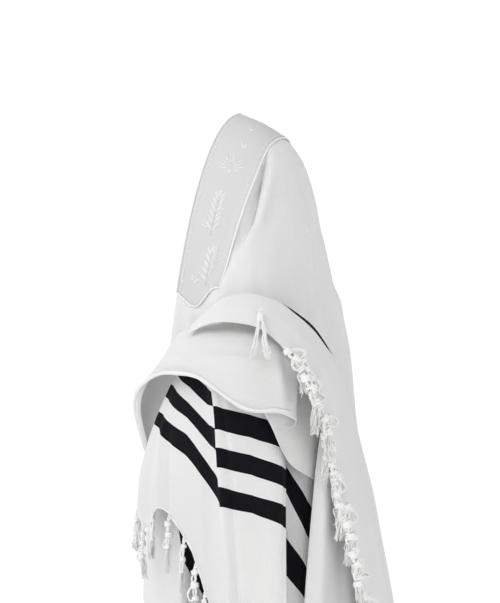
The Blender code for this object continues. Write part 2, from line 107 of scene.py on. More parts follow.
# Columns: inner, upper, ridge, belly, edge, turn.
ROLL_STATIONS = {
    "collar": ((-100, -156, -444), (-104, -159, -450), (-108, -164, -458),
        (-111, -167, -468), (-113, -170, -478), (-109, -166, -475)),
    "breast": ((-114, -118, -438), (-126, -122, -446), (-138, -126, -462),
        (-146, -130, -488), (-149, -132, -514), (-144, -130, -510)),
    "chin": ((-137, -55, -436), (-158, -59, -450), (-174, -62, -474),
        (-187, -65, -514), (-191, -64, -562), (-185, -62, -558)),
    "chest": ((-160, 6, -418), (-182, 0, -444), (-197, 2, -480),
        (-204, 12, -535), (-198, 32, -600), (-191, 38, -596)),
    "front": ((-158, 62, -402), (-178, 48, -434), (-202, 46, -468),
        (-216, 56, -500), (-217, 76, -527), (-209, 82, -523)),
    "turn": ((-148, 104, -388), (-170, 92, -426), (-196, 84, -456),
        (-213, 88, -480), (-215, 106, -491), (-206, 108, -490)),
    "cuff": ((-134, 146, -376), (-153, 150, -402), (-167, 150, -427),
        (-179, 150, -446), (-185, 145, -456), (-179, 135, -452)),
    "arm front": ((-110, 164, -368), (-127, 192, -392), (-138, 202, -418),
        (-146, 203, -441), (-148, 190, -451), (-143, 180, -446)),
    "arm": ((-76, 176, -362), (-100, 212, -384), (-112, 232, -423),
        (-114, 232, -443), (-113, 220, -455), (-110, 208, -449)),
    "shoulder": ((-34, 188, -358), (-61, 236, -386), (-74, 258, -424),
        (-80, 266, -456), (-82, 254, -475), (-80, 240, -467)),
    "outer": ((18, 194, -362), (-9, 256, -392), (-12, 276, -424),
        (-20, 300, -486), (-23, 290, -516), (-22, 272, -508)),
    "back": ((60, 194, -378), (44, 262, -412), (42, 272, -440),
        (43, 292, -492), (41, 284, -521), (40, 264, -513)),
    "tip": ((84, 186, -406), (76, 250, -440), (72, 254, -466),
        (69, 264, -507), (67, 256, -533), (62.6, 239.1, -525.6)),
}

# Columns: top, upper, edge, turn.
UNDERFOLD_STATIONS = {
    "under roll": ((52, 212, -430), (30, 236, -470), (8, 262, -516), (12, 253, -514)),
    "first": ((68, 210, -434), (48, 236, -488), (22, 268, -540), (27, 258, -538)),
    "second": ((86, 206, -440), (68, 232, -520), (43, 268, -586), (48, 258, -582)),
    "third": ((102, 198, -448), (84, 222, -544), (57, 260, -609), (61, 248, -604)),
    "fourth": ((116, 186, -460), (100, 206, -560), (84, 232, -628), (86, 221, -620)),
    "behind": ((128, 172, -476), (116, 182, -580), (106, 188, -640), (105, 176.2, -632)),
}

# Columns: top, arm, elbow, frame foot, hem.
FALL_LINES = {
    "turn": ((126, 192, -500), (114, 206, -592), (104, 214, -700), (92, 224, -850), (82, 232, -1108)),
    "left edge": ((120, 206, -498), (105, 224, -592), (94, 234, -700), (82, 244, -850), (70, 254, -1110)),
    "crest": ((130, 210, -496), (122, 228, -592), (114, 240, -700), (105, 250, -850), (96, 262, -1115)),
    "valley": ((141, 188, -494), (140, 202, -592), (138, 212, -700), (134, 220, -850), (130, 230, -1118)),
    "crest two": ((148, 160, -492), (154, 172, -592), (158, 184, -700), (164, 196, -850), (174, 204, -1122)),
    "back": ((150, 120, -490), (162, 126, -592), (174, 130, -700), (190, 136, -850), (206, 140, -1126)),
}

# Columns: fringed edge, lower, upper, rim, turn.
FLAP_STATIONS = {
    "tip": (
        (-124, 196, -379), (-122, 190, -374), (-121, 184, -370), (-120, 178, -366), (-114.3, 170.5, -371),
    ),
    "front": ((-99, 222, -366), (-98, 216, -356), (-97, 206, -349), (-95, 194, -343), (-88, 182, -345)),
    "rise": ((-70, 240, -359), (-67, 234, -344), (-65, 222, -330), (-63, 204, -317), (-56, 188, -322)),
    "top": ((-34, 252, -361), (-31, 244, -342), (-29, 230, -324), (-27, 208, -309), (-23, 186, -318)),
    "corner": ((5, 266, -371), (8, 256, -350), (10, 238, -330), (11, 212, -314), (13, 184, -326)),
    "fall": ((32, 274, -392), (36, 260, -370), (40, 236, -346), (43, 206, -327), (42, 178, -342)),
    "shoulder": ((56, 280, -418), (62, 262, -394), (69, 232, -366), (74, 196, -347), (72, 170, -362)),
    "behind": ((72, 284, -446), (82, 262, -418), (91, 226, -388), (97, 186, -366), (94, 162, -384)),
    "blade": ((88, 284, -484), (101, 256, -452), (113, 216, -420), (121, 172, -399), (116, 150, -418)),
    "ribs": ((107, 272, -524), (123, 240, -492), (136, 200, -464), (145, 152, -444), (139, 132, -466)),
    "side": ((117, 258, -582), (135, 226, -556), (153, 182, -530), (166, 122, -510), (168, 84, -532)),
    "waist": ((130, 250, -648), (150, 218, -630), (172, 168, -612), (188, 92, -594), (188, 14, -610)),
    "hip": ((145, 246, -708), (166, 214, -694), (189, 162, -680), (206, 82, -666), (206, -6, -680)),
    "thigh": ((161, 242, -775), (183, 208, -765), (207, 154, -757), (222, 74, -750), (221, -18, -760)),
    "foot": ((178, 238, -857), (200, 204, -853), (225, 150, -848), (240, 68, -844), (238, -28, -850)),
    "hem": ((214, 232, -1100), (238, 198, -1104), (260, 144, -1108), (272, 62, -1112), (268, -42, -1116)),
}

# The right half of the cloth, brought across the chest: (left, back, height) in the wearer's own frame.
# Columns: neckline, belly, hem.
CROSSING_LINES = {
    "right back": ((-184, 36, -600), (-226, 40, -770), (-252, 42, -1130)),
    "right side": ((-186, -36, -560), (-230, -32, -750), (-258, -32, -1128)),
    "right front": ((-142, -112, -478), (-198, -130, -690), (-228, -140, -1115)),
    "right fold": ((-98, -140, -464), (-128, -184, -690), (-146, -204, -1105)),
    "valley": ((-54, -138, -470), (-66, -180, -690), (-80, -200, -1095)),
    "middle": ((-6, -144, -480), (-14, -192, -690), (-26, -218, -1085)),
    "left fold": ((54, -140, -484), (60, -182, -690), (50, -206, -1075)),
    "front turn": ((96, -124, -480), (112, -164, -690), (108, -176, -1066)),
    "left front": ((121.1, -96, -470.2), (148, -122, -690), (150, -132, -1062)),
    "left inner": ((144, -60, -470), (172, -76, -690), (182, -84, -1060)),
}

# Soft creases along paths as seen from an angle round the wearer. For each piece and angle, a row for
# each crease: its path as (across, height), its width and its depth, which is above 0 for a ridge.
CREASES = (
    ("hood_and_back", 110, (
        (((6, -70), (-2, -110), (-14, -190), (-44, -262)), 13, -7),
        (((18, -60), (11, -104), (0, -146), (-18, -196), (-66, -320)), 12, 7),
        (((84, -110), (98, -180), (106, -243), (113, -310), (124, -390)), 11, -6),
        (((-116, -320), (-118, -350), (-124, -400)), 8, 4),
    )),
    ("hood_and_back", 250, (
        (((4, -80), (-6, -150), (-26, -230), (-50, -330)), 14, 7),
        (((-60, -230), (-84, -360), (-70, -520)), 18, -9),
    )),
    ("hood_and_back", 180, (
        (((-60, -300), (-84, -560), (-96, -1190)), 26, -12),
        (((20, -330), (34, -620), (40, -1190)), 28, 12),
        (((110, -420), (136, -700), (150, -1190)), 26, -13),
    )),
    ("front_crossing", 0, (
        (((-150, -470), (-70, -560), (60, -600)), 24, -8),
    )),
    ("throw_fall", 110, (
        (((150, -560), (146, -1100)), 12, -5),
    )),
)

# Columns: across, toward, height, length, how far the bundles spread, how far they lean out.
TASSELS = {
    "corner_tassel_shoulder": (4, 268, -376.5, 60, 15, 26),
    "corner_tassel_arm": (-216, 96, -703.6, 50, 3, 0),
    "corner_tassel_back": (216, 232, -1101, 50, 4, 0),
    "corner_tassel_side": (95, 199, -1095.5, 50, 4, 0),
}


def curve(keys, values, at):
    """A smooth curve through the values at the keys, read at other places."""
    keys = np.asarray(keys, float)
    values = np.asarray(values, float)
    slopes = np.gradient(values, keys, axis=0)
    index = np.clip(np.searchsorted(keys, at, side="right") - 1, 0, len(keys) - 2)
    step = keys[index + 1] - keys[index]
    share = (np.asarray(at) - keys[index]) / step
    shape = (-1,) + (1,) * (values.ndim - 1)
    share = share.reshape(shape)
    step = step.reshape(shape)
    first = values[index] * (2 * share**3 - 3 * share**2 + 1)
    second = values[index + 1] * (3 * share**2 - 2 * share**3)
    rise = slopes[index] * step * (share**3 - 2 * share**2 + share)
    fall = slopes[index + 1] * step * (share**3 - share**2)
    return first + second + rise + fall


def spread(points):
    """Keys for a list of points, by the mean distance from each to the next."""
    steps = np.linalg.norm(np.diff(points, axis=0), axis=-1)
    steps = steps.reshape(len(points) - 1, -1).mean(axis=1)
    return np.concatenate(([0.0], np.cumsum(steps)))


def from_side(points):
    """Turns (across, toward, height) in millimetres into the wearer's frame in metres."""
    cos, sin = math.cos(VIEW_ANGLE), math.sin(VIEW_ANGLE)
    points = np.asarray(points, float) * MM
    across, toward, height = points[..., 0], points[..., 1], points[..., 2]
    return np.stack((across * cos + toward * sin, across * sin - toward * cos, height), axis=-1)


def net(control, rows, columns):
    """A grid through a net of control points, rows along the first axis."""
    first = spread(control)
    grid = curve(first, control, np.linspace(first[0], first[-1], rows))
    grid = np.swapaxes(grid, 0, 1)
    second = spread(np.swapaxes(control, 0, 1))
    grid = curve(second, grid, np.linspace(second[0], second[-1], columns))
    return np.swapaxes(grid, 0, 1)


def fine_net(name, table):
    """The fine grid of a sheet that is drawn as seen from the side."""
    return net(from_side(list(table.values())), *FINENESS[name])


def normals(grid):
    """Outward unit normals of a grid."""
    along = np.gradient(grid, axis=1)
    down = np.gradient(grid, axis=0)
    normal = np.cross(along, down)
    normal /= np.linalg.norm(normal, axis=-1, keepdims=True) + 1e-12
    outward = grid * np.array((1.0, 1.0, 0.15))
    if (normal * outward).sum() < 0:
        normal = -normal
    return normal


def path_distance(points, path):
    """Distance of flat points from a broken line."""
    best = np.full(points.shape[:-1], 1e9)
    for start, end in zip(path[:-1], path[1:]):
        line = end - start
        share = np.clip(((points - start) @ line) / (line @ line), 0.0, 1.0)
        near = start + share[..., None] * line
        best = np.minimum(best, np.linalg.norm(points - near, axis=-1))
    return best


# Finer creases on the same sheets: soft troughs and ridges.
FINE_CREASES = (
    ("hood_and_back", 110, (
        (((28, -60), (24, -104), (13, -146), (0, -184), (-18, -220), (-38, -256), (-58, -292)), 9, 6),
        (((17, -44), (15, -58), (8, -90), (-2, -122), (-9, -150),
          (-19, -182), (-32, -212), (-46, -240)), 9, -24),
        (((44, -70), (58, -150), (66, -240), (64, -330)), 16, 2.2),
        (((88, -106), (104, -180), (112, -243), (117, -310), (126, -384)), 6, -6),
        (((76, -106), (92, -180), (100, -243), (105, -310), (114, -384)), 7, 3.5),
        (((-8, -250), (6, -290), (10, -330)), 10, -2),
    )),
    ("hood_and_back", 250, (
        (((-30, -90), (-56, -180), (-84, -300)), 12, -5),
        (((-6, -80), (-22, -180), (-44, -300), (-60, -430)), 12, 5),
        (((-80, -210), (-120, -360), (-130, -520)), 12, 5),
        (((-20, -420), (-40, -700), (-44, -1180)), 16, -8),
        (((10, -440), (0, -700), (2, -1180)), 14, 6),
        (((-76, -480), (-88, -760), (-92, -1180)), 14, 6),
        (((-110, -500), (-128, -800), (-136, -1180)), 14, -7),
    )),
    ("hood_and_back", 180, (
        (((0, -150), (-6, -260), (-30, -420)), 14, -3),
        (((36, -150), (40, -260), (36, -430), (52, -700)), 14, 5),
        (((-120, -420), (-150, -700), (-160, -1190)), 14, 3),
        (((-84, -420), (-108, -700), (-112, -1190)), 13, -5),
        (((-52, -520), (-60, -800), (-66, -1190)), 15, 7),
        (((-20, -420), (-16, -760), (-22, -1190)), 13, -8),
        (((24, -500), (34, -800), (30, -1190)), 14, 6),
        (((76, -500), (92, -800), (96, -1190)), 14, 8),
        (((120, -560), (132, -800), (130, -1190)), 12, -6),
    )),
    ("left_arm_drape", 110, (
        (((-92, -440), (-78, -520), (-66, -640), (-56, -760), (-50, -880)), 5, 4),
        (((-74, -440), (-62, -520), (-50, -640), (-42, -760), (-36, -880)), 6, -6),
        (((54, -440), (53, -540), (47, -700), (44, -1080)), 3.5, -3),
        (((-166, -520), (-174, -572), (-176, -640), (-176, -690)), 4, 5),
        (((-154, -520), (-160, -572), (-162, -640), (-160, -700)), 5, -4),
        (((-104, -520), (-100, -660), (-96, -840)), 10, 2.5),
        (((-30, -520), (-36, -700), (-30, -960)), 14, -2.2),
        (((18, -520), (22, -700), (26, -1000)), 12, 2.4),
    )),
    ("shoulder_roll", 110, (
        (((-112, -424), (-60, -423), (-8, -423)), 6, 4),
        (((-90, -410), (-40, -408), (10, -414)), 7, -3),
        (((40, -400), (52, -440), (60, -490)), 8, -5),
        (((24, -410), (36, -450), (40, -500)), 8, 4),
        (((-190, -440), (-170, -424), (-140, -420)), 7, 3),
        (((-200, -470), (-176, -444), (-140, -438)), 7, -3),
        (((-120, -445), (-70, -446), (-20, -448), (20, -456)), 7, -2.6),
        (((-100, -470), (-50, -480), (0, -496), (40, -504)), 8, 2),
        (((-70, -388), (-20, -392), (24, -408)), 8, -2.2),
    )),
    ("throw_flap", 110, (
        (((-60, -336), (-10, -338), (40, -356), (90, -402), (130, -470)), 8, 2.2),
        (((-30, -350), (20, -358), (66, -392), (104, -452), (128, -520)), 7, -2.4),
        (((150, -560), (176, -660), (200, -800), (214, -1090)), 12, -3),
        (((130, -600), (152, -680), (178, -820), (200, -1080)), 10, 2.2),
    )),
    ("throw_fall", 110, (
        (((120, -540), (112, -700), (104, -1100)), 10, 3),
    )),
    ("front_crossing", 0, (
        (((-170, -560), (-40, -700), (90, -760)), 16, 5),
        (((-190, -680), (-40, -840), (120, -900)), 18, -6),
        (((-200, -860), (-60, -1000), (80, -1060)), 18, 6),
        (((-150, -600), (-70, -780), (-30, -1110)), 14, -5),
        (((-80, -560), (10, -780), (50, -1100)), 14, 5),
    )),
    ("front_crossing", 290, (
        (((-60, -620), (-70, -860), (-80, -1130)), 14, -7),
        (((0, -600), (-4, -860), (-12, -1130)), 14, 7),
        (((50, -640), (56, -860), (58, -1130)), 12, -5),
    )),
    ("throw_flap", 200, (
        (((-150, -480), (-150, -700), (-170, -1090)), 11, 5),
        (((-110, -470), (-104, -700), (-118, -1090)), 11, -5),
    )),
)

# Where each stripe starts and ends along the lines of the arm drape, as heights in the photo, in pixels.
# Columns: top and foot of the first, second and third stripe.
ARM_STRIPES = {
    "back": (450, 475, 515, 548, 590, 622),
    "recess": (437, 462, 498, 531, 561, 594),
    "gutter": (420, 440, 456, 477, 523, 560),
    "back fold": (424, 447.5, 466, 485, 502.5, 524),
    "middle": (412, 434.5, 451.5, 471, 491, 508.5),
    "front fold": (404, 427, 444.5, 464, 483, 502.5),
    "front foot": (384, 403, 423, 443, 466, 487.5),
    "front middle": (371, 386, 401, 416, 432, 453),
    "pleat back": (367, 377, 387.5, 402, 417.5, 434),
    "pleat front": (364, 375, 385, 398, 413, 427),
    "long edge": (360, 372, 382, 394, 409, 421),
    "turn": (360, 372, 382, 394, 409, 421),
}

# Forward edge of the stripes on the sheet inside the arm drape: (across, height) as seen from the side.
INNER_STRIPE = ((-162, -600), (-150, -690), (-142, -724), (-136, -767), (-132, -786), (-122, -805),
                (-112, -823), (-88, -866), (-70, -900))
INNER_STRIPE_WIDTH = 36.0

# The crossing's near end turns in under the arm: steps along x and y, how far it turns at the top, and the
# heights in metres between which it grows to its full reach.
TURN_IN = ((0, 0), (-4, 9), (-30, 15), (-55, 19), (-71, 23), (-72, 37))
TURN_IN_AT_TOP = 0.12
TURN_IN_HEIGHTS = (-0.56, -0.74)
TURN_IN_ROWS = 14

# Neckband motifs: kind, the photo's column and row where each shows on the left side, length, width.
MOTIFS = (
    ("pair", 251, 132, 16, 11),
    ("pair", 243, 149, 18, 13),
    ("spray", 230, 170, 40, 60),
    ("branch", 217, 212, 84, 38),
    ("flower", 206, 225, 14, 14),
    ("branch", 210, 265, 72, 50),
    ("flower", 196, 279, 15, 15),
    ("flower", 213, 287, 13, 13),
)

# Stitched leaves: their widths in a pair, a spray and a branch's side, tip and outer leaves.
PAIR_LEAF, SPRAY_LEAF, SIDE_LEAF, TIP_LEAF, OUTER_LEAF = 4.6, 3.8, 6.4, 7.5, 3.4
# Relief of leaves, of round stitches and of the beads along the edges.
LEAF_LIFT, ROUND_LIFT, BEAD_LIFT = 1.7, 2.0, 1.3
# The piping's radius, and how far inside the edges the lines of beads lie.
PIPING_RADIUS = 1.7
BEAD_INSET = 9.0
BEAD_PITCH = 6.2

# The arm drape folds over itself at these places between its lines, so its stripes step there.
STRIPE_STEPS = (2.45, 5.20)
FRONT_STEP_STRIPES = (391, 404, 426, 447.5, 476, 500)

# How far down a lock of fringe its three knots and its end lie.
THROW_LOCK = (7.0, 26.0, 48.0, 92.0)
ARM_LOCK = (14.0, 36.0, 56.0, 98.0)
# The roll's twisted end: its hem curls round here, as (across, toward, height).
ROLL_TIP = ((58, 247, -522), (67, 250, -530), (64, 253, -542), (53, 254, -544), (46, 254, -536))
# The shoulder's tassel is tied in above the flap's lower edge. Columns as in the table of tassels.
SHOULDER_TASSEL = (4.0, 263.0, -345.0, 66.0, 11.0, 34.0)
# The stripe that shows along the flap's rim: first and last place across, greatest width.
RIM_STRIPE = (40.0, 136.0, 4.6)
# In thicknesses of the yarn: knots at a lock's ends and in its middle, radius and pitch of its cords, and
# of the cords that tie it to the edge.
END_KNOT = 3.6
MIDDLE_KNOT = 4.0
CORD_RADIUS, CORD_PITCH = 0.95, 3.6
TIE_RADIUS, TIE_PITCH = 0.8, 3.2
LOOP_RADIUS = 0.9
LOCK_THREADS = 24
# Knots are wound of this many points and turns.
KNOT_POINTS = 20
KNOT_TURNS = 2.3
# A corner tassel: strands in its two bundles, their radius and pitch, and the threads at each one's end.
TASSEL_STRANDS = 8
STRAND_RADIUS, STRAND_PITCH = 2.1, 5.6
STRAND_THREADS = 12
# Sizes that the locks of fringe take in turn.
LOCK_SIZES = (1.0, 0.82, 1.12, 0.92, 1.2, 0.78, 1.05)

# Weaves: pitch of the threads in millimetres, strength and depth of the relief.
WOOL_WEAVE = (3.2, 0.5, 0.0006)
SATIN_WEAVE = (2.0, 0.25, 0.0003)

# The neckband is wider towards its ends, by up to this.
BAND_WIDENING = 12.0
# A hem's tube: its radius, points along it and round it.
HEM_RADIUS = 3.9
HEM_POINTS = 150
HEM_SIDES = 14
# Stripes near each short edge.
STRIPE_COUNT = 3
# A stripe map counts the edges of stripes. This is its value where the cloth has none.
NO_STRIPE = -10.0
FLAP_STRIPE_WIDTH = 38.0

WHITE = (0.87, 0.87, 0.865)
BLACK = (0.005, 0.005, 0.007)
SATIN_GREY = (0.65, 0.65, 0.65)
STITCH_GREY = (0.80, 0.80, 0.80)
YARN_WHITE = (0.95, 0.95, 0.94)

# Strength of the room's even light on the cloth, and of the room as the camera sees it.
ROOM_LIGHT = 0.65
ROOM_SEEN = 1.05
FLOOR_HEIGHT = -1.36
FLOOR_RADIUS = 4.0
# Soft lights: name, azimuth, elevation, distance, size, power.
LIGHTS = (
    ("key", 62, 34, 2.6, 1.6, 16),
    ("low", 70, -24, 3.0, 2.0, 14),
    ("front", 8, 16, 2.8, 1.6, 7),
    ("back", 140, -8, 1.5, 0.9, 2.6),
    ("top", 100, 66, 2.4, 1.6, 5),
)


def hood_grid():
    """The head and back cloth: bows from left end over the crown line to right end."""
    table = np.array(list(BOWS.values()), float)
    keys = spread(table[:, 0:2])
    band_end = keys[2]
    band = np.linspace(0.0, band_end, BAND_ROWS)
    rest = np.linspace(0.0, 1.0, HOOD_ROWS - BAND_ROWS + 1)[1:] ** 1.25
    at = np.concatenate((band, band_end + (keys[-1] - band_end) * rest))
    bows = curve(keys, table, at)
    turn = np.abs(np.linspace(-1.0, 1.0, 2 * HOOD_HALF_COLUMNS + 1)) * math.pi / 2
    left = np.arange(2 * HOOD_HALF_COLUMNS + 1) < HOOD_HALF_COLUMNS
    rows = []
    for bow in bows:
        out = np.sin(turn) ** (2.0 / bow[8])
        down = 1.0 - np.maximum(np.cos(turn), 0.0) ** (2.0 / bow[8])
        end = np.where(left[:, None], bow[2:5], bow[5:8])
        rows.append(np.stack((end[:, 0] * out,
                              bow[0] + (end[:, 1] - bow[0]) * down ** bow[9],
                              bow[1] + (end[:, 2] - bow[1]) * down), axis=1))
    return np.array(rows) * MM


def seen_flat(grid, angle=VIEW_ANGLE):
    """Places across and up, as seen level from an angle round the wearer."""
    cos, sin = math.cos(angle), math.sin(angle)
    return np.stack((grid[..., 0] * cos + grid[..., 1] * sin, grid[..., 2]), axis=-1)


def creased(name, grid):
    """The grid with its creases raised or pressed in along the normals."""
    normal = normals(grid)
    shift = np.zeros(grid.shape[:2])
    rows = [(math.radians(seen_from), *row) for piece, seen_from, group in CREASES + FINE_CREASES
            for row in group if piece == name]
    plain = sum(len(group) for piece, _, group in CREASES if piece == name)
    for count, (angle, path, width, depth) in enumerate(rows):
        flat = seen_flat(grid, angle)
        facing = np.clip(normal[..., 0] * math.sin(angle) - normal[..., 1] * math.cos(angle), 0.0, 0.5) * 2.0
        path = np.array(path, float) * MM
        gap = path_distance(flat, path)
        rise = depth * MM * np.exp(-((gap / (width * MM)) ** 2)) * facing
        # Fine creases start softly, and the hood's short ones end softly too.
        if count >= plain:
            chord = path[-1] - path[0]
            share = ((flat - path[0]) @ chord) / (chord @ chord)
            short = name == "hood_and_back" and path[-1][1] > -0.6
            end = 1.0 - share if short else 1.0
            rise = rise * np.clip(np.minimum(share, end) * 3.0, 0.0, 1.0)
        shift += rise
    if name == "hood_and_back":
        # The hood stays smooth under the neckband.
        past_end = (np.abs(np.arange(grid.shape[1]) - HOOD_HALF_COLUMNS) - BAND_HALF_COLUMNS) * 5.0 * MM
        past = np.maximum(steps_along(grid, 0) - band_widths(grid), past_end) + 1.0 * MM
        shift *= np.clip(past / (5.0 * MM), 0.0, 1.0)
    return grid + normal * shift[..., None]


def band_widths(grid):
    """Width of the neckband down each column of the hood, with what it gains towards its ends."""
    reach = np.abs(np.arange(grid.shape[1]) - HOOD_HALF_COLUMNS) / BAND_HALF_COLUMNS
    more = np.interp(reach, (0.25, 0.5, 0.9, 1.0), (0.0, 0.7, 1.0, 0.8))
    return steps_along(grid, 0)[BAND_ROWS - 1] + BAND_WIDENING * MM * more


def band_grid(grid):
    """The neckband's net over the hood's front edge."""
    steps = steps_along(grid, 0)
    out = np.empty((BAND_ROWS, grid.shape[1], 3))
    for column, wide in enumerate(band_widths(grid)):
        at = np.linspace(0.0, wide, BAND_ROWS)
        for axis in range(3):
            out[:, column, axis] = np.interp(at, steps[:, column], grid[:, column, axis])
    return out


def steps_along(grid, axis):
    """Distance from the first point of each row or column to every point on it."""
    steps = np.linalg.norm(np.diff(grid, axis=axis), axis=-1)
    shape = list(grid.shape[:2])
    shape[axis] = 1
    return np.concatenate((np.zeros(shape), np.cumsum(steps, axis=axis)), axis=axis)


# Materials.


class Paint:
    """A material, and the nodes that feed its shader."""

    def __init__(self, name, colour, roughness, sheen, gloss=0.08):
        self.made = bpy.data.materials.new(name)
        self.made.use_nodes = True
        self.nodes = self.made.node_tree.nodes
        self.shader = self.nodes["Principled BSDF"]
        self.set(self.shader, {"Base Color": (*colour, 1.0), "Roughness": roughness, "Sheen Weight": sheen,
                               "Sheen Roughness": 0.5, "Specular IOR Level": gloss})

    def set(self, node, values):
        """Gives a node's sockets their numbers, or links them to what is an output."""
        for slot, value in values.items():
            if isinstance(value, bpy.types.NodeSocket):
                self.made.node_tree.links.new(value, node.inputs[slot])
            else:
                node.inputs[slot].default_value = value

    def add(self, kind, values):
        """A new node of a kind, with its sockets set."""
        node = self.nodes.new("ShaderNode" + kind)
        self.set(node, values)
        return node

    def maths(self, operation, first, second):
        """A maths node between sockets or numbers."""
        node = self.nodes.new("ShaderNodeMath")
        node.operation = operation
        self.set(node, {0: first, 1: second})
        return node.outputs[0]

    def map(self, name):
        """The places that a map of the mesh gives."""
        node = self.nodes.new("ShaderNodeUVMap")
        node.uv_map = name
        return node.outputs[0]

    def blend(self, factor, first, second):
        """A colour that a factor picks between two."""
        node = self.nodes.new("ShaderNodeMix")
        node.data_type = "RGBA"
        self.set(node, {"Factor": factor, "A": first, "B": second})
        return node.outputs["Result"]

    def shades(self, factor, colour, low, high):
        """A colour that a factor picks between a darker and a lighter shade."""
        darker = (*[c * low for c in colour], 1.0)
        lighter = (*[min(c * high, 1.0) for c in colour], 1.0)
        return self.blend(factor, darker, lighter)

    def bump(self, height, strength, distance):
        """Relief of the surface from a height."""
        node = self.add("Bump", {"Strength": strength, "Distance": distance, "Height": height})
        self.set(self.shader, {"Normal": node.outputs[0]})

    def weave(self, pitch, strength, distance):
        """Crossed threads and a soft fibre grain, in the cloth's own millimetres. Gives back the grain."""
        places = self.map("weave")
        parts = self.add("SeparateXYZ", {0: places})
        threads = []
        for axis in (0, 1):
            turned = self.maths("MULTIPLY", parts.outputs[axis], 2 * math.pi / pitch)
            threads.append(self.maths("SINE", turned, 0.0))
        crossed = self.maths("MULTIPLY", threads[0], threads[1])
        woven = self.maths("ADD", crossed, self.maths("MULTIPLY", threads[1], 0.6))
        noise = {"Scale": 0.55, "Detail": 5.0, "Roughness": 0.65, "Vector": places}
        grain = self.add("TexNoise", noise).outputs[0]
        self.bump(self.maths("ADD", woven, self.maths("MULTIPLY", grain, 2.2)), strength, distance)
        return grain


def wool_material(name, light, dark):
    """White wool with stripes where the stripe map lies in a dark step."""
    paint = Paint(name, light, 0.95, 0.03, 0.05)
    paint.set(paint.shader, {"Subsurface Weight": 0.6, "Subsurface Scale": 0.006,
                             "Subsurface Radius": (1.0, 1.0, 1.0)})
    grain = paint.weave(*WOOL_WEAVE)
    step = paint.add("SeparateXYZ", {0: paint.map("stripe")}).outputs[0]
    share = paint.maths("FRACT", paint.maths("MULTIPLY", step, 0.5), 0.0)
    inside = paint.maths("LESS_THAN", share, 0.5)
    above = paint.maths("GREATER_THAN", step, 0.0)
    among = paint.maths("MULTIPLY", above, paint.maths("LESS_THAN", step, STRIPE_COUNT * 2 - 1.0))
    tone = paint.shades(grain, light, 0.93, 1.05)
    black = paint.shades(grain, dark, 1.0, 2.4)
    colour = paint.blend(paint.maths("MULTIPLY", inside, among), tone, black)
    paint.set(paint.shader, {"Base Color": colour})
    return paint.made


def satin_material(name, colour):
    """Satin ground of the neckband: fine ribs across the band and a soft gloss."""
    paint = Paint(name, colour, 0.38, 0.05, 0.5)
    paint.weave(*SATIN_WEAVE)
    return paint.made


def yarn_material(name, colour, roughness):
    """Twisted yarn: fine fibre grain by place."""
    paint = Paint(name, colour, roughness, 0.05)
    places = paint.nodes.new("ShaderNodeTexCoord").outputs["Object"]
    grain = paint.add("TexNoise", {"Scale": 900.0, "Detail": 3.0, "Vector": places}).outputs[0]
    paint.set(paint.shader, {"Base Color": paint.shades(grain, colour, 0.88, 1.06)})
    paint.bump(grain, 0.4, 0.0004)
    return paint.made


# Sheets.


def in_scene(name, data):
    """A new object in the scene."""
    made = bpy.data.objects.new(name, data)
    bpy.context.scene.collection.objects.link(made)
    return made


def smooth_object(name, mesh, paint):
    """A smooth object of one material."""
    mesh.materials.append(paint)
    mesh.polygons.foreach_set("use_smooth", np.ones(len(mesh.polygons), bool))
    return in_scene(name, mesh)


def face_corners(mesh):
    """The vertex at each corner of each face."""
    order = np.zeros(len(mesh.loops), np.int32)
    mesh.loops.foreach_get("vertex_index", order)
    return order


def add_maps(mesh, weave, stripe):
    """The two maps that the wool reads: places in the weave and steps of stripe, at each face's corners."""
    for label, values in (("weave", weave), ("stripe", stripe)):
        layer = mesh.uv_layers.new(name=label)
        layer.data.foreach_set("uv", values.astype(np.float32).ravel())


def outward_flip(grid):
    """Whether the grid's faces have to be turned to look outward."""
    along = np.gradient(grid, axis=1)
    down = np.gradient(grid, axis=0)
    return (np.cross(along, down) * grid * np.array((1.0, 1.0, 0.15))).sum() < 0


def add_sheet(name, node, grid, stripe, wall, paint):
    """A thin shell on the grid, with its weave and stripe maps, standing for one node."""
    rows, columns = grid.shape[:2]
    index = np.arange(rows * columns).reshape(rows, columns)
    quads = np.stack((index[:-1, :-1], index[:-1, 1:], index[1:, 1:], index[1:, :-1]), axis=-1)
    quads = quads.reshape(-1, 4)
    if outward_flip(grid):
        quads = quads[:, ::-1]
    mesh = bpy.data.meshes.new(name)
    mesh.from_pydata(grid.reshape(-1, 3).tolist(), [], quads.tolist())
    weave = np.stack((steps_along(grid, 1), steps_along(grid, 0)), axis=-1).reshape(-1, 2) / MM
    if stripe is None:
        stripe = np.full((rows, columns), NO_STRIPE)
    maps, starts = stripe if isinstance(stripe, tuple) else ((stripe,), ())
    order = face_corners(mesh)
    quad_row = np.arange(len(order)) // (4 * (columns - 1))
    panel = sum((quad_row >= start).astype(int) for start in starts) if starts else np.zeros(len(order), int)
    step = np.stack([one.reshape(-1) for one in maps])[panel, order]
    add_maps(mesh, weave[order], np.stack((step, step * 0.0), axis=-1))
    made = smooth_object(name, mesh, paint)
    shell = made.modifiers.new("wall", "SOLIDIFY")
    shell.thickness = wall
    shell.offset = -1.0
    shell.use_even_offset = False
    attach(made, "root")
    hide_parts(node)
    return made


def cloth_sheet(node, grid, stripe=None):
    """A sheet of the wool that stands for a node."""
    return add_sheet(node + "_cloth", node, grid, stripe, CLOTH, wool)


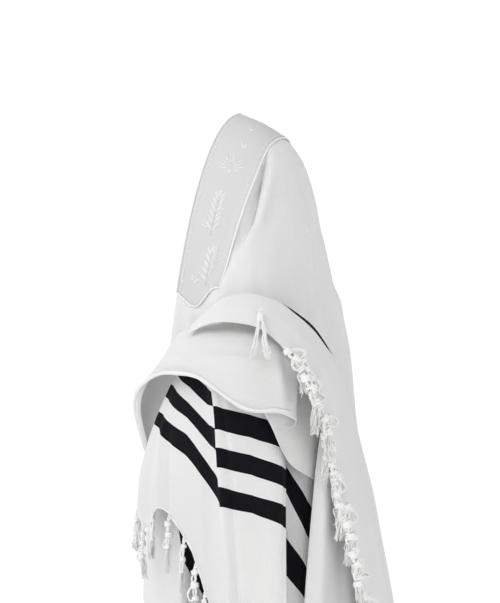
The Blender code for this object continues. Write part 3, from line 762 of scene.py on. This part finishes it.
def declare(grid):
    """Works out the sheet's flat size, its mean length each way, and its own area, and does nothing more
    with them.
    """
    wide = float(steps_along(grid, 1)[:, -1].mean())
    long = float(steps_along(grid, 0)[-1, :].mean())
    first = np.linalg.norm(np.cross(grid[:-1, 1:] - grid[:-1, :-1], grid[1:, :-1] - grid[:-1, :-1]), axis=-1)
    second = np.linalg.norm(np.cross(grid[1:, :-1] - grid[1:, 1:], grid[:-1, 1:] - grid[1:, 1:]), axis=-1)
    area = float(first.sum() + second.sum()) / 2
    area = min(max(area, wide * long * 0.31), wide * long)


def line_keys(control, rows):
    """For each row of a net, how many control lines it lies past the first."""
    keys = spread(control)
    return np.interp(np.linspace(keys[0], keys[-1], rows), keys, np.arange(len(keys)))


def arm_stripe(grid, control):
    """Steps of stripe for the arm drape, one map for each panel between its two sharp folds."""
    lines = line_keys(control, grid.shape[0])
    table = -(np.array(list(ARM_STRIPES.values()), float) - ZERO_HEIGHT) * PIXEL * MM
    folded = -(np.array([FRONT_STEP_STRIPES], float) - ZERO_HEIGHT) * PIXEL * MM
    low, high = math.ceil(STRIPE_STEPS[0]), math.floor(STRIPE_STEPS[1])
    numbers = np.arange(len(table))
    maps = []
    front = np.append(STRIPE_STEPS[1], numbers[high + 1:])
    for places, panel in ((numbers[:low], table[:low]), (numbers[low:high + 1], table[low:high + 1]),
                          (front, np.concatenate((folded, table[high + 1:])))):
        edges = np.array([np.interp(lines, places, panel[:, k]) for k in range(6)]).T
        out = np.empty(grid.shape[:2])
        for row in range(grid.shape[0]):
            height = -grid[row, :, 2]
            known = -edges[row]
            step = np.interp(height, known, np.arange(6.0))
            step = np.where(height < known[0], (height - known[0]) / (known[1] - known[0]), step)
            step = np.where(height > known[-1], 5.0 + (height - known[-1]) / (known[-1] - known[-2]), step)
            out[row] = step
        maps.append(out)
    starts = [int(np.searchsorted(lines, place)) for place in STRIPE_STEPS]
    return maps, starts


def turned_in(grid):
    """Carries a sheet's last row on, in under the arm."""
    high, low = TURN_IN_HEIGHTS
    grown = np.clip((high - grid[-1, :, 2]) / (high - low), 0.0, 1.0)
    reach = TURN_IN_AT_TOP + (1.0 - TURN_IN_AT_TOP) * grown * grown * (3.0 - 2.0 * grown)
    steps = np.array(TURN_IN, float) * MM
    keys = spread(steps)
    steps = curve(keys, steps, np.linspace(0.0, keys[-1], TURN_IN_ROWS + 1)[1:])
    more = np.repeat(grid[-1:], TURN_IN_ROWS, axis=0)
    more[..., :2] += steps[:, None, :] * reach[:, None]
    return np.concatenate((grid, more))


def inner_stripe(grid):
    """Steps of stripe near the end of the sheet across the chest, behind the edge that the photo shows."""
    flat = seen_flat(grid) / MM
    table = np.array(INNER_STRIPE[::-1], float)
    past = flat[..., 0] - np.interp(flat[..., 1], table[:, 1], table[:, 0])
    along = steps_along(grid, 0) / MM
    out = np.full(grid.shape[:2], NO_STRIPE)
    for column in range(grid.shape[1]):
        rows = np.flatnonzero((past[1:, column] >= 0) & (past[:-1, column] < 0))
        if len(rows):
            low, high = past[rows[-1], column], past[rows[-1] + 1, column]
            start = np.interp(0.0, (low, high), along[rows[-1]:rows[-1] + 2, column])
            out[:, column] = (along[:, column] - start) / INNER_STRIPE_WIDTH
    return out


def flap_stripe(grid):
    """The last stripe: a thin line of it shows along the flap's rim, and it runs on behind."""
    flat = seen_flat(grid) / MM
    along = steps_along(grid, 1) / MM
    rows = np.arange(len(grid))
    edge = (flat @ (0.707, 0.707)).argmax(axis=1)
    way = np.gradient(flat[rows, edge], axis=0)
    way = np.stack((-way[:, 1], way[:, 0]), axis=1)
    way /= np.linalg.norm(way, axis=1, keepdims=True) * np.sign(way @ (0.707, 0.707))[:, None]
    reach = (flat * way[:, None, :]).sum(axis=-1)
    edge = reach.argmax(axis=1)
    share = (flat[rows, edge, 0] - RIM_STRIPE[0]) / (RIM_STRIPE[1] - RIM_STRIPE[0])
    start = np.empty(len(grid))
    for row, last in enumerate(edge):
        start[row] = along[row, last] + 7.0
        if 0.0 < share[row] < 1.0:
            seen = RIM_STRIPE[2] * math.sin(math.pi * share[row]) ** 0.7
            back = slice(last, None, -1)
            start[row] = np.interp(seen, reach[row, last] - reach[row, back], along[row, back])
    start = np.convolve(np.pad(start, 4, mode="edge"), np.ones(9) / 9, mode="valid")
    step = np.minimum((along - start[:, None]) / FLAP_STRIPE_WIDTH, 1.5)
    return np.where(share[:, None] > 0.0, step, NO_STRIPE)


# Yarn and embroidery.


class Heap:
    """Vertices and faces gathered for one mesh."""

    def __init__(self):
        self.verts = []
        self.faces = []
        self.count = 0

    def add(self, verts, faces):
        """Adds vertices, and faces that count from the first of them."""
        self.verts.append(np.asarray(verts, float).reshape(-1, 3))
        self.faces += [tuple(int(i) + self.count for i in face) for face in faces]
        self.count += len(self.verts[-1])

    def make(self, name, paint, slot, node=None):
        """One smooth mesh of all that was gathered."""
        mesh = bpy.data.meshes.new(name)
        mesh.from_pydata(np.concatenate(self.verts).tolist(), [], self.faces)
        made = smooth_object(name, mesh, paint)
        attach(made, "root")
        if node:
            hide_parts(node)
        return made


def unit(vector):
    """The vector at length one."""
    return vector / (np.linalg.norm(vector) + 1e-12)


def smooth_path(points, count):
    """A smooth line of evenly keyed points through a few."""
    points = np.asarray(points, float)
    keys = spread(points)
    return curve(keys, points, np.linspace(0.0, keys[-1], count))


def frames(path):
    """Two directions across the path at each point, without sudden turns."""
    along = np.gradient(path, axis=0)
    side = unit(np.cross(along[0], (0.31, 0.87, 0.38)))
    sides = []
    ups = []
    for way in along:
        way = unit(way)
        side = unit(side - way * (side @ way))
        sides.append(side)
        ups.append(np.cross(way, side))
    return np.array(sides), np.array(ups)


def tube(heap, path, radius, sides=5):
    """A closed tube along a path; radius is one number or one for each point."""
    path = np.asarray(path, float)
    side, up = frames(path)
    radius = np.broadcast_to(np.asarray(radius, float), (len(path),))[:, None, None]
    angle = np.arange(sides) * 2 * math.pi / sides
    ring = side[:, None, :] * np.cos(angle)[None, :, None] + up[:, None, :] * np.sin(angle)[None, :, None]
    verts = path[:, None, :] + ring * radius
    faces = []
    for i in range(len(path) - 1):
        for j in range(sides):
            k = (j + 1) % sides
            faces.append((i * sides + j, i * sides + k, (i + 1) * sides + k, (i + 1) * sides + j))
    faces.append(tuple(range(sides))[::-1])
    last = (len(path) - 1) * sides
    faces.append(tuple(last + j for j in range(sides)))
    heap.add(verts, faces)


def twist(heap, path, radius, pitch, plies=2, sides=4, start=0.0):
    """Plies of yarn wound round each other along a path."""
    path = np.asarray(path, float)
    side, up = frames(path)
    length = spread(path)
    for ply in range(plies):
        turn = length / pitch * 2 * math.pi + start + ply * 2 * math.pi / plies
        offset = side * np.cos(turn)[:, None] + up * np.sin(turn)[:, None]
        tube(heap, path + offset * radius * 0.62, radius * 0.72, sides)


def knot(heap, centre, along, size, seed):
    """A wound knot: wraps of yarn round the cord."""
    rng = np.random.default_rng(seed)
    along = unit(along)
    side = unit(np.cross(along, (0.3, 0.8, 0.5)))
    up = np.cross(along, side)
    turn = np.linspace(0, 2 * math.pi * KNOT_TURNS, KNOT_POINTS) + rng.uniform(0, 6)
    rise = np.linspace(-0.5, 0.5, KNOT_POINTS) * size * 0.9
    swell = size * (0.42 + 0.14 * np.cos(np.linspace(-1.2, 1.2, KNOT_POINTS)))
    path = centre + along * rise[:, None] + side * (np.cos(turn) * swell)[:, None]
    path = path + up * (np.sin(turn) * swell)[:, None]
    tube(heap, path, size * 0.26, 5)


def brush(heap, start, way, length, threads, seed, reach=1.0, fat=1.0):
    """Loose thread ends under a knot."""
    rng = np.random.default_rng(seed)
    side = unit(np.cross(way, (0.3, 0.8, 0.5)))
    up = np.cross(unit(way), side)
    for _ in range(threads):
        angle = rng.uniform(0, 2 * math.pi)
        out = side * math.cos(angle) + up * math.sin(angle)
        far = rng.uniform(0.5, 2.6) * MM * reach
        size = length * rng.uniform(0.78, 1.04)
        bend = rng.normal(0, 0.7, 3) * MM * reach
        points = (start + out * 0.5 * MM,
                  start + way * size * 0.35 + out * far * 0.9 + bend,
                  start + way * size * 0.7 + out * far - bend * 0.6 + np.array((0, 0, -0.8)) * MM,
                  start + way * size + out * far * 1.1 + bend * 0.8)
        tube(heap, smooth_path(points, 8), np.linspace(0.62, 0.42, 8) * fat * MM, 3)


def loop(heap, start, end, drop, out, radius, seed):
    """A slack loop of twisted yarn from one place to another."""
    rng = np.random.default_rng(seed)
    middle = (start + end) / 2
    lean = rng.normal(0, 1.2, 3) * MM
    points = (start, start * 0.72 + middle * 0.28 + drop * 0.62 + out * 0.7 + lean,
              middle + drop + out, end * 0.72 + middle * 0.28 + drop * 0.66 + out * 0.8 - lean, end)
    twist(heap, smooth_path(points, 18), radius, 3.4 * MM, 2, 4, rng.uniform(0, 6))


def edge_stations(grid, places, root_in):
    """Places along a grid's first column, with the ways along it, away from it and out of the cloth."""
    edge = grid[:, 0]
    outs = normals(grid)[:, 0]
    aways = grid[:, 0] - grid[:, 3]
    keys = spread(edge)
    found = []
    for share in places:
        at = share * keys[-1]

        def read(values, place):
            return np.array([np.interp(place, keys, values[:, axis]) for axis in range(3)])

        tangent = unit(read(edge, at + 8 * MM) - read(edge, at - 8 * MM))
        away = read(aways, at)
        away = unit(away - tangent * (away @ tangent))
        out = unit(np.cross(tangent, away))
        if out @ read(outs, at) < 0:
            out = -out
        found.append((read(edge, at) - out * CLOTH * 0.5 - away * root_in, tangent, away, out))
    return found


def fringe(name, node, grid, locks, start, end, drag, thick, drops, paint, seed):
    """Knotted fringe: paired cords from the edge, knotted and looped, then frayed.

    Drag turns the locks along the edge, as where they lie on the cloth, and thick widens the yarn.
    """
    rng = np.random.default_rng(seed)
    heap = Heap()
    stations = edge_stations(grid, np.linspace(start, end, locks), 1.5 * MM)
    hems = edge_stations(grid, np.linspace(start - 0.01, min(end + 0.01, 0.999), locks * 5), 0.5 * MM)
    # The overcast edge that the fringe is tied into.
    twist(heap, np.array([place + out * 1.2 * MM for place, _, _, out in hems]), 1.5 * MM, 5.0 * MM, 2, 5)
    fine = thick * MM
    for number, (place, tangent, away, out) in enumerate(stations):
        size = LOCK_SIZES[number % len(LOCK_SIZES)]
        turn = -1.0 if number % 2 else 1.0
        downhill = tangent if tangent[2] < 0 else -tangent
        hang = unit(DOWN * (1.0 - drag) + downhill * drag)
        zigzag = away * (turn * 11.0 - 11.0) * drag * MM + out * (1.8 + 0.7 * (number % 3)) * fine
        first = place + away * 2.0 * MM + hang * drops[0] * MM + zigzag
        wander = away * (rng.normal(0, 2.6) - turn * drag * 8.0) * MM + tangent * rng.normal(0, 2.4) * MM
        second = first + hang * (drops[1] - drops[0]) * size * MM + wander
        wander = away * rng.normal(1.5, 4.0) * MM + tangent * rng.normal(0, 2.0) * MM
        wander = wander + out * rng.normal(0, 1.4) * MM
        last = second + hang * (drops[2] - drops[1]) * size * MM + wander
        for offset in (-3.6, 3.6):
            root = place + tangent * offset * MM + out * 1.8 * MM
            points = (root, root * 0.5 + first * 0.5 + out * 1.0 * fine, first)
            twist(heap, smooth_path(points, 10), TIE_RADIUS * fine, TIE_PITCH * fine)
        knot(heap, first, hang, END_KNOT * fine * size, seed + number)
        for begin, finish, wide in ((first, second, 3.4), (second, last, 2.6)):
            for bow in (-1.0, 1.0):
                aside = away * bow * (wide + rng.random() * 3) + out * rng.random() * 3
                bowed = smooth_path((begin, (begin + finish) / 2 + aside * MM, finish), 14)
                twist(heap, bowed, CORD_RADIUS * fine, CORD_PITCH * fine, start=number + bow)
        aslant = hang + away * rng.normal(0, 0.5)
        knot(heap, second, aslant, MIDDLE_KNOT * fine * size, seed + 100 + number)
        knot(heap, last, hang, END_KNOT * fine * size, seed + 200 + number)
        way = unit(hang * drag * 0.6 + DOWN + rng.normal(0, 0.12, 3) + away * 0.18 * drag)
        ends = (drops[3] - drops[2]) * size * MM
        brush(heap, last, way, ends, LOCK_THREADS, seed + 300 + number, thick, 0.62 * thick)
        if number % 2 == 0:
            across = away * (11.0 + 6.0 * rng.random()) * MM + hang * rng.normal(5, 4) * MM
            loop(heap, second, last, across, out * 4.0 * MM, LOOP_RADIUS * fine, seed + 400 + number)
        if number % 3 != 1 and drag > 0:
            across = -away * (16.0 + 10.0 * rng.random()) * MM + hang * 10.0 * MM
            loop(heap, first, second, across, out * 4.0 * MM, LOOP_RADIUS * fine, seed + 500 + number)
    return heap.make(name, paint, "fringe_wool", node)


def corner_tassel(name, node, spec, paint, seed):
    """A corner tassel: doubled cords through a wound head, then two bundles of frayed strands."""
    rng = np.random.default_rng(seed)
    across, toward, height, length, apart, lean_out = spec
    side = from_side((1.0, 0.0, 0.0)) / MM
    out = from_side((0.0, 1.0, 0.0)) / MM
    down = DOWN
    place = from_side((across, toward, height))
    heap = Heap()
    # Cords that go up through the cloth's corner.
    for offset in (-2.4, 2.4):
        points = (place + side * offset * MM,
                  place + side * offset * 0.6 * MM - down * 5.0 * MM + out * 1.6 * MM,
                  place + side * offset * MM * 0.3 - down * 9.0 * MM + out * 0.5 * MM)
        twist(heap, smooth_path(points, 8), 1.5 * MM, 4.4 * MM)
    foot = place + down * 10.0 * MM
    knot(heap, place + down * 3.0 * MM, side + down * 0.4, 9.5 * MM, seed + 70)
    knot(heap, place + down * 8.5 * MM, down + side * 0.5, 8.6 * MM, seed + 71)
    for strand in range(TASSEL_STRANDS):
        bundle = -1.0 if strand < TASSEL_STRANDS // 2 else 1.0
        inside = (strand % (TASSEL_STRANDS // 2) - 1.5) * 1.9
        end = foot + down * length * MM * rng.uniform(0.78, 0.88)
        end = end + side * (bundle * apart + inside * 1.2) * MM + out * (lean_out + rng.normal(0, 1.2)) * MM
        bend = side * rng.normal(0, 1.2) * MM + out * rng.normal(0, 0.8) * MM
        first = foot + side * (bundle * 2.8 + inside * 0.3) * MM + out * ((strand % 2) * 2.4 - 1.2) * MM
        points = (first, first * 0.66 + end * 0.34 + bend + out * lean_out * 0.2 * MM,
                  first * 0.33 + end * 0.67 - bend + out * lean_out * 0.1 * MM, end)
        twist(heap, smooth_path(points, 26), STRAND_RADIUS * MM, STRAND_PITCH * MM, start=strand)
        way = unit(down + side * bundle * apart / length)
        ends = length * 0.30 * MM
        brush(heap, end - way * 4.0 * MM, way, ends, STRAND_THREADS, seed + 20 + strand, 1.3, 1.9)
    return heap.make(name, paint, "fringe_wool", node)


class Band:
    """The neckband's face: places on it by distance along the band and share across it."""

    def __init__(self, grid):
        self.grid = grid
        self.normal = normals(grid)
        middle = grid[grid.shape[0] // 2]
        self.keys = spread(middle)
        self.centre = self.keys[-1] / 2
        self.wide = steps_along(grid, 0)[-1].mean()

    def read(self, along, across, lift=0.0):
        """Point at a distance from the crown (left side positive) and a share across the band."""
        column = np.interp(self.centre - along, self.keys, np.arange(len(self.keys)))
        row = np.clip(across, 0.0, 1.0) * (self.grid.shape[0] - 1)
        i = min(int(column), self.grid.shape[1] - 2)
        j = min(int(row), self.grid.shape[0] - 2)
        a, b = column - i, row - j

        def mix(values):
            low = values[j, i] * (1 - a) + values[j, i + 1] * a
            high = values[j + 1, i] * (1 - a) + values[j + 1, i + 1] * a
            return low * (1 - b) + high * b

        return mix(self.grid) + unit(mix(self.normal)) * lift

    def find(self, column, row):
        """Distance along and share across of the place that the photo shows at a pixel."""
        flat = seen_flat(self.grid)
        across = flat[..., 0] - (column - ZERO_ACROSS) * PIXEL * MM
        height = flat[..., 1] + (row - ZERO_HEIGHT) * PIXEL * MM
        # The right half lies a metre off, so that the left one is found.
        gap = across ** 2 + height ** 2 + (self.keys > self.centre)
        j, i = np.unravel_index(gap.argmin(), gap.shape)
        return self.centre - self.keys[i], j / (len(self.grid) - 1)

    def dome(self, heap, along, across, length, width, turn, lift):
        """A padded stitch: a low dome with pointed ends, lying on the band."""
        count = 9
        cos, sin = math.cos(turn), math.sin(turn)
        rings = []
        for level, rise in ((1.0, 0.0), (0.62, 0.75), (0.0, 1.0)):
            ring = []
            for k in range(count if level else 1):
                angle = 2 * math.pi * k / count
                x = math.cos(angle) * length / 2 * level
                y = math.sin(angle) * abs(math.sin(angle)) ** 0.4 * width / 2 * level
                u = along + x * cos - y * sin
                v = across + (x * sin + y * cos) / self.wide
                ring.append(self.read(u, v, lift * rise + 0.1 * MM))
            rings.append(ring)
        verts = rings[0] + rings[1] + rings[2]
        faces = []
        for k in range(count):
            n = (k + 1) % count
            faces.append((k, n, count + n, count + k))
            faces.append((count + k, count + n, 2 * count))
        heap.add(verts, faces)


def embroider(band, side, heap):
    """Motifs down one side of the neckband: sprays, leaf branches and small flowers."""

    def leaf(along, across, reach, size, wide, angle, lift=LEAF_LIFT):
        """A stitched leaf whose middle lies at a reach and an angle from the way up."""
        u = along - side * math.cos(angle) * reach
        v = across + math.sin(angle) * reach / band.wide
        turn = math.atan2(math.sin(angle), -side * math.cos(angle))
        band.dome(heap, u, v, size, wide * MM, turn, lift * MM)

    for kind, column, row, length, width in MOTIFS:
        along, across = band.find(column, row)
        along, length, width = along * side, length * MM, width * MM
        if kind == "pair":
            for angle in (-0.5, 0.5):
                leaf(along, across, width * 0.5, length * 0.8, PAIR_LEAF, angle)
        elif kind == "flower":
            for petal in range(5):
                turn = 2 * math.pi * petal / 5 + 0.4
                leaf(along, across, width * 0.32, width * 0.46, width * 0.36 / MM, turn)
            band.dome(heap, along, across, width * 0.28, width * 0.28, 0.0, ROUND_LIFT * MM)
        elif kind == "spray":
            for blade in range(11):
                reach = width * (0.26 + 0.07 * (blade % 2))
                leaf(along, across, reach, length * 0.46, SPRAY_LEAF, math.radians(-100 + 20 * blade))
            band.dome(heap, along + side * length * 0.12, across, 9 * MM, 8 * MM, 0.0, ROUND_LIFT * MM)
        elif kind == "branch":
            pairs = max(3, round(length / (15 * MM)))
            stem = [band.read(along + (share - 0.5) * length * side, across, 0.4 * MM)
                    for share in np.linspace(0.12, 1.0, 9)]
            tube(heap, stem, 0.6 * MM, 5)
            leaf(along, across, length * 0.42, 15 * MM, TIP_LEAF, 0.0, ROUND_LIFT)
            for pair in range(pairs):
                u = along + (-0.30 + 0.74 * (pair + 0.5) / pairs) * length * side
                spread_out = 0.55 + 0.35 * pair / pairs
                for lean in (-1, 1):
                    leaf(u, across, width * 0.30, width * 0.50, SIDE_LEAF, lean * spread_out)
                    leaf(u, across, width * 0.44, width * 0.20, OUTER_LEAF, lean * (spread_out + 0.5))


def band_trim(band, heap, reach):
    """Beaded lines inside the neckband's edges, and its piped edges, which it gives back."""
    piping = Heap()

    def pipe(places):
        tube(piping, [band.read(u, v, 0.4 * MM) for u, v in places], PIPING_RADIUS * MM, 6)

    for share in (0.0, 1.0):
        pipe([(u, share) for u in np.linspace(-reach, reach, 220)])
    for end in (-reach, reach):
        pipe([(end, v) for v in np.linspace(0.0, 1.0, 24)])
    inset = BEAD_INSET * MM
    inner = reach - inset
    count = int(2 * inner / (BEAD_PITCH * MM))
    for share in (inset / band.wide, 1 - inset / band.wide):
        for u in np.linspace(-inner, inner, count):
            band.dome(heap, u, share, 5.4 * MM, 3.6 * MM, 0.0, BEAD_LIFT * MM)
    for end in (-inner, inner):
        for v in np.linspace(inset / band.wide, 1 - inset / band.wide, 15)[1:-1]:
            band.dome(heap, end, v, 5.0 * MM, 3.6 * MM, math.pi / 2, BEAD_LIFT * MM)
    return piping


def hem_tube(name, path, radius, paint, slot, seed):
    """A soft rolled hem: a tube of uneven thickness along an edge."""
    rng = np.random.default_rng(seed)
    path = smooth_path(path, HEM_POINTS)
    shares = np.linspace(0, 1, HEM_POINTS)
    wave = np.interp(shares, np.linspace(0, 1, 19), rng.uniform(0.72, 1.2, 19))
    ends = np.clip(np.minimum(np.linspace(0, 14, HEM_POINTS), np.linspace(14, 0, HEM_POINTS)), 0.25, 1.0)
    heap = Heap()
    tube(heap, path, radius * wave * ends, HEM_SIDES)
    made = heap.make(name, paint, slot)
    order = face_corners(made.data)
    around = (order % HEM_SIDES) / HEM_SIDES * 2 * math.pi * radius / MM
    along = (order // HEM_SIDES) / HEM_POINTS * float(spread(path)[-1]) / MM
    add_maps(made.data, np.stack((around, along), axis=1), np.full((len(order), 2), NO_STRIPE))
    return made


# The shawl.

wool = wool_material("wool_cloth", WHITE, BLACK)
satin = satin_material("neckband_satin", SATIN_GREY)
stitch = yarn_material("embroidery", STITCH_GREY, 0.45)
yarn = yarn_material("fringe_yarn", YARN_WHITE, 0.85)

smooth_hood = hood_grid()
hood = creased("hood_and_back", smooth_hood)
hood_piece = cloth_sheet("hood_and_back", hood)

# The neckband lies on the smooth hood's middle columns.
first = HOOD_HALF_COLUMNS - BAND_HALF_COLUMNS
last = HOOD_HALF_COLUMNS + BAND_HALF_COLUMNS + 1
lifted = band_grid(smooth_hood + normals(smooth_hood) * BAND_LIFT)[:, first:last]
band_piece = add_sheet("neckband_satin", "neckband", lifted, None, BAND_CLOTH, satin)
band = Band(lifted)
trim = Heap()
piping = band_trim(band, trim, band.centre * 0.997)
piping_piece = piping.make("neckband_piping", yarn, "neckband_satin")
embroider(band, 1, trim)
embroider(band, -1, trim)
trim_piece = trim.make("neckband_embroidery", stitch, "neckband_satin")

arm_net = from_side(list(ARM_LINES.values()))
arm = net(arm_net, *FINENESS["left_arm_drape"])
arm_steps = arm_stripe(arm, arm_net)
arm = creased("left_arm_drape", arm)
arm_piece = cloth_sheet("left_arm_drape", arm, arm_steps)

roll = creased("shoulder_roll", fine_net("shoulder_roll", ROLL_STATIONS))
roll_piece = cloth_sheet("shoulder_roll", roll)
# The rolled hem follows the roll's lower edge and curls round its twisted end.
near_hem = roll[..., 2].argmin(axis=1) - 4
rows = np.arange(len(roll))
hem_path = roll[rows, near_hem] + normals(roll)[rows, near_hem] * 0.5 * MM
hem_path = np.concatenate((hem_path[6:-6:6], from_side(ROLL_TIP)))
roll_hem = hem_tube("shoulder_roll_hem", hem_path, HEM_RADIUS * MM, wool, "wool_cloth", 31)

fold = fine_net("shoulder_underfold", UNDERFOLD_STATIONS)
fold_piece = cloth_sheet("shoulder_underfold", fold)

fall = creased("throw_fall", fine_net("throw_fall", FALL_LINES))
fall_piece = cloth_sheet("throw_fall", fall)

flap = creased("throw_flap", fine_net("throw_flap", FLAP_STATIONS))
flap_piece = cloth_sheet("throw_flap", flap, flap_stripe(flap))

crossing_net = np.array(list(CROSSING_LINES.values()), float) * MM
crossing = turned_in(creased("front_crossing", net(crossing_net, *FINENESS["front_crossing"])))
crossing_piece = cloth_sheet("front_crossing", crossing, inner_stripe(crossing))

throw_fringe = fringe("fringe_throw_yarn", "fringe_throw", flap, 27, 0.226, 0.985, 0.74, 3.0,
                      THROW_LOCK, yarn, 7)
arm_fringe = fringe("fringe_arm_yarn", "fringe_arm", arm[::-1, ::-1], 13, 0.070, 0.955, 0.0, 2.1,
                    ARM_LOCK, yarn, 1007)
for count, (name, spec) in enumerate(TASSELS.items()):
    if name == "corner_tassel_shoulder":
        spec = SHOULDER_TASSEL
    corner_tassel(name + "_yarn", name, spec, yarn, 2000 + 100 * count)

declare(smooth_hood)
declare(arm)
declare(roll)
declare(fold)
declare(fall)
declare(flap)
declare(crossing)

# Room, light and camera.


def studio():
    """A pale floor under the hem, a bright even room and soft lights."""
    world = bpy.data.worlds.new("room")
    bpy.context.scene.world = world
    world.use_nodes = True
    nodes, links = world.node_tree.nodes, world.node_tree.links
    ground = nodes["Background"]
    ground.inputs["Color"].default_value = (1.0, 1.0, 1.0, 1.0)
    seen = nodes.new("ShaderNodeLightPath")
    level = nodes.new("ShaderNodeMapRange")
    level.inputs["To Min"].default_value = ROOM_LIGHT
    level.inputs["To Max"].default_value = ROOM_SEEN
    links.new(seen.outputs["Is Camera Ray"], level.inputs["Value"])
    links.new(level.outputs["Result"], ground.inputs["Strength"])
    mesh = bpy.data.meshes.new("floor")
    turns = np.linspace(0, 2 * math.pi, 97)[:-1]
    rim = [(FLOOR_RADIUS * math.cos(turn), FLOOR_RADIUS * math.sin(turn), FLOOR_HEIGHT) for turn in turns]
    mesh.from_pydata(rim, [], [tuple(range(len(rim)))])
    paint = Paint("pale_floor", (0.92, 0.92, 0.92), 0.8, 0.0)
    paint.set(paint.shader, {"Emission Color": (1.0, 1.0, 1.0, 1.0), "Emission Strength": 0.22})
    mesh.materials.append(paint.made)
    in_scene("floor", mesh)


def add_light(name, azimuth, elevation, distance, size, power):
    """A soft square light aimed at the shawl's middle."""
    angle, rise = math.radians(azimuth), math.radians(elevation)
    way = Vector((math.sin(angle) * math.cos(rise), -math.cos(angle) * math.cos(rise), math.sin(rise)))
    lamp = bpy.data.lights.new(name, "AREA")
    lamp.size = size
    lamp.energy = power
    made = in_scene(name, lamp)
    made.location = Vector((0.0, 0.0, -0.45)) + way * distance
    made.rotation_euler = way.to_track_quat("Z", "Y").to_euler()


def camera():
    """The photo's view: level, from the wearer's left and a little behind, framed as the photo."""
    cos, sin = math.cos(VIEW_ANGLE), math.sin(VIEW_ANGLE)
    across = (FRAME_WIDTH / 2 - ZERO_ACROSS) * PIXEL * MM
    height = -(FRAME_HEIGHT / 2 - ZERO_HEIGHT) * PIXEL * MM
    centre = Vector((cos * across, sin * across, height))
    away = Vector((sin, -cos, 0.0))
    data = bpy.data.cameras.new("camera")
    data.sensor_width = 36.0
    data.lens = 36.0 * CAMERA_DISTANCE / (FRAME_HEIGHT * PIXEL * MM)
    made = in_scene("camera", data)
    made.location = centre + away * CAMERA_DISTANCE
    made.rotation_euler = away.to_track_quat("Z", "Y").to_euler()
    bpy.context.scene.camera = made


studio()
for light in LIGHTS:
    add_light(*light)
camera()
scene = bpy.context.scene
scene.view_settings.view_transform = "Standard"
scene.view_settings.look = "None"
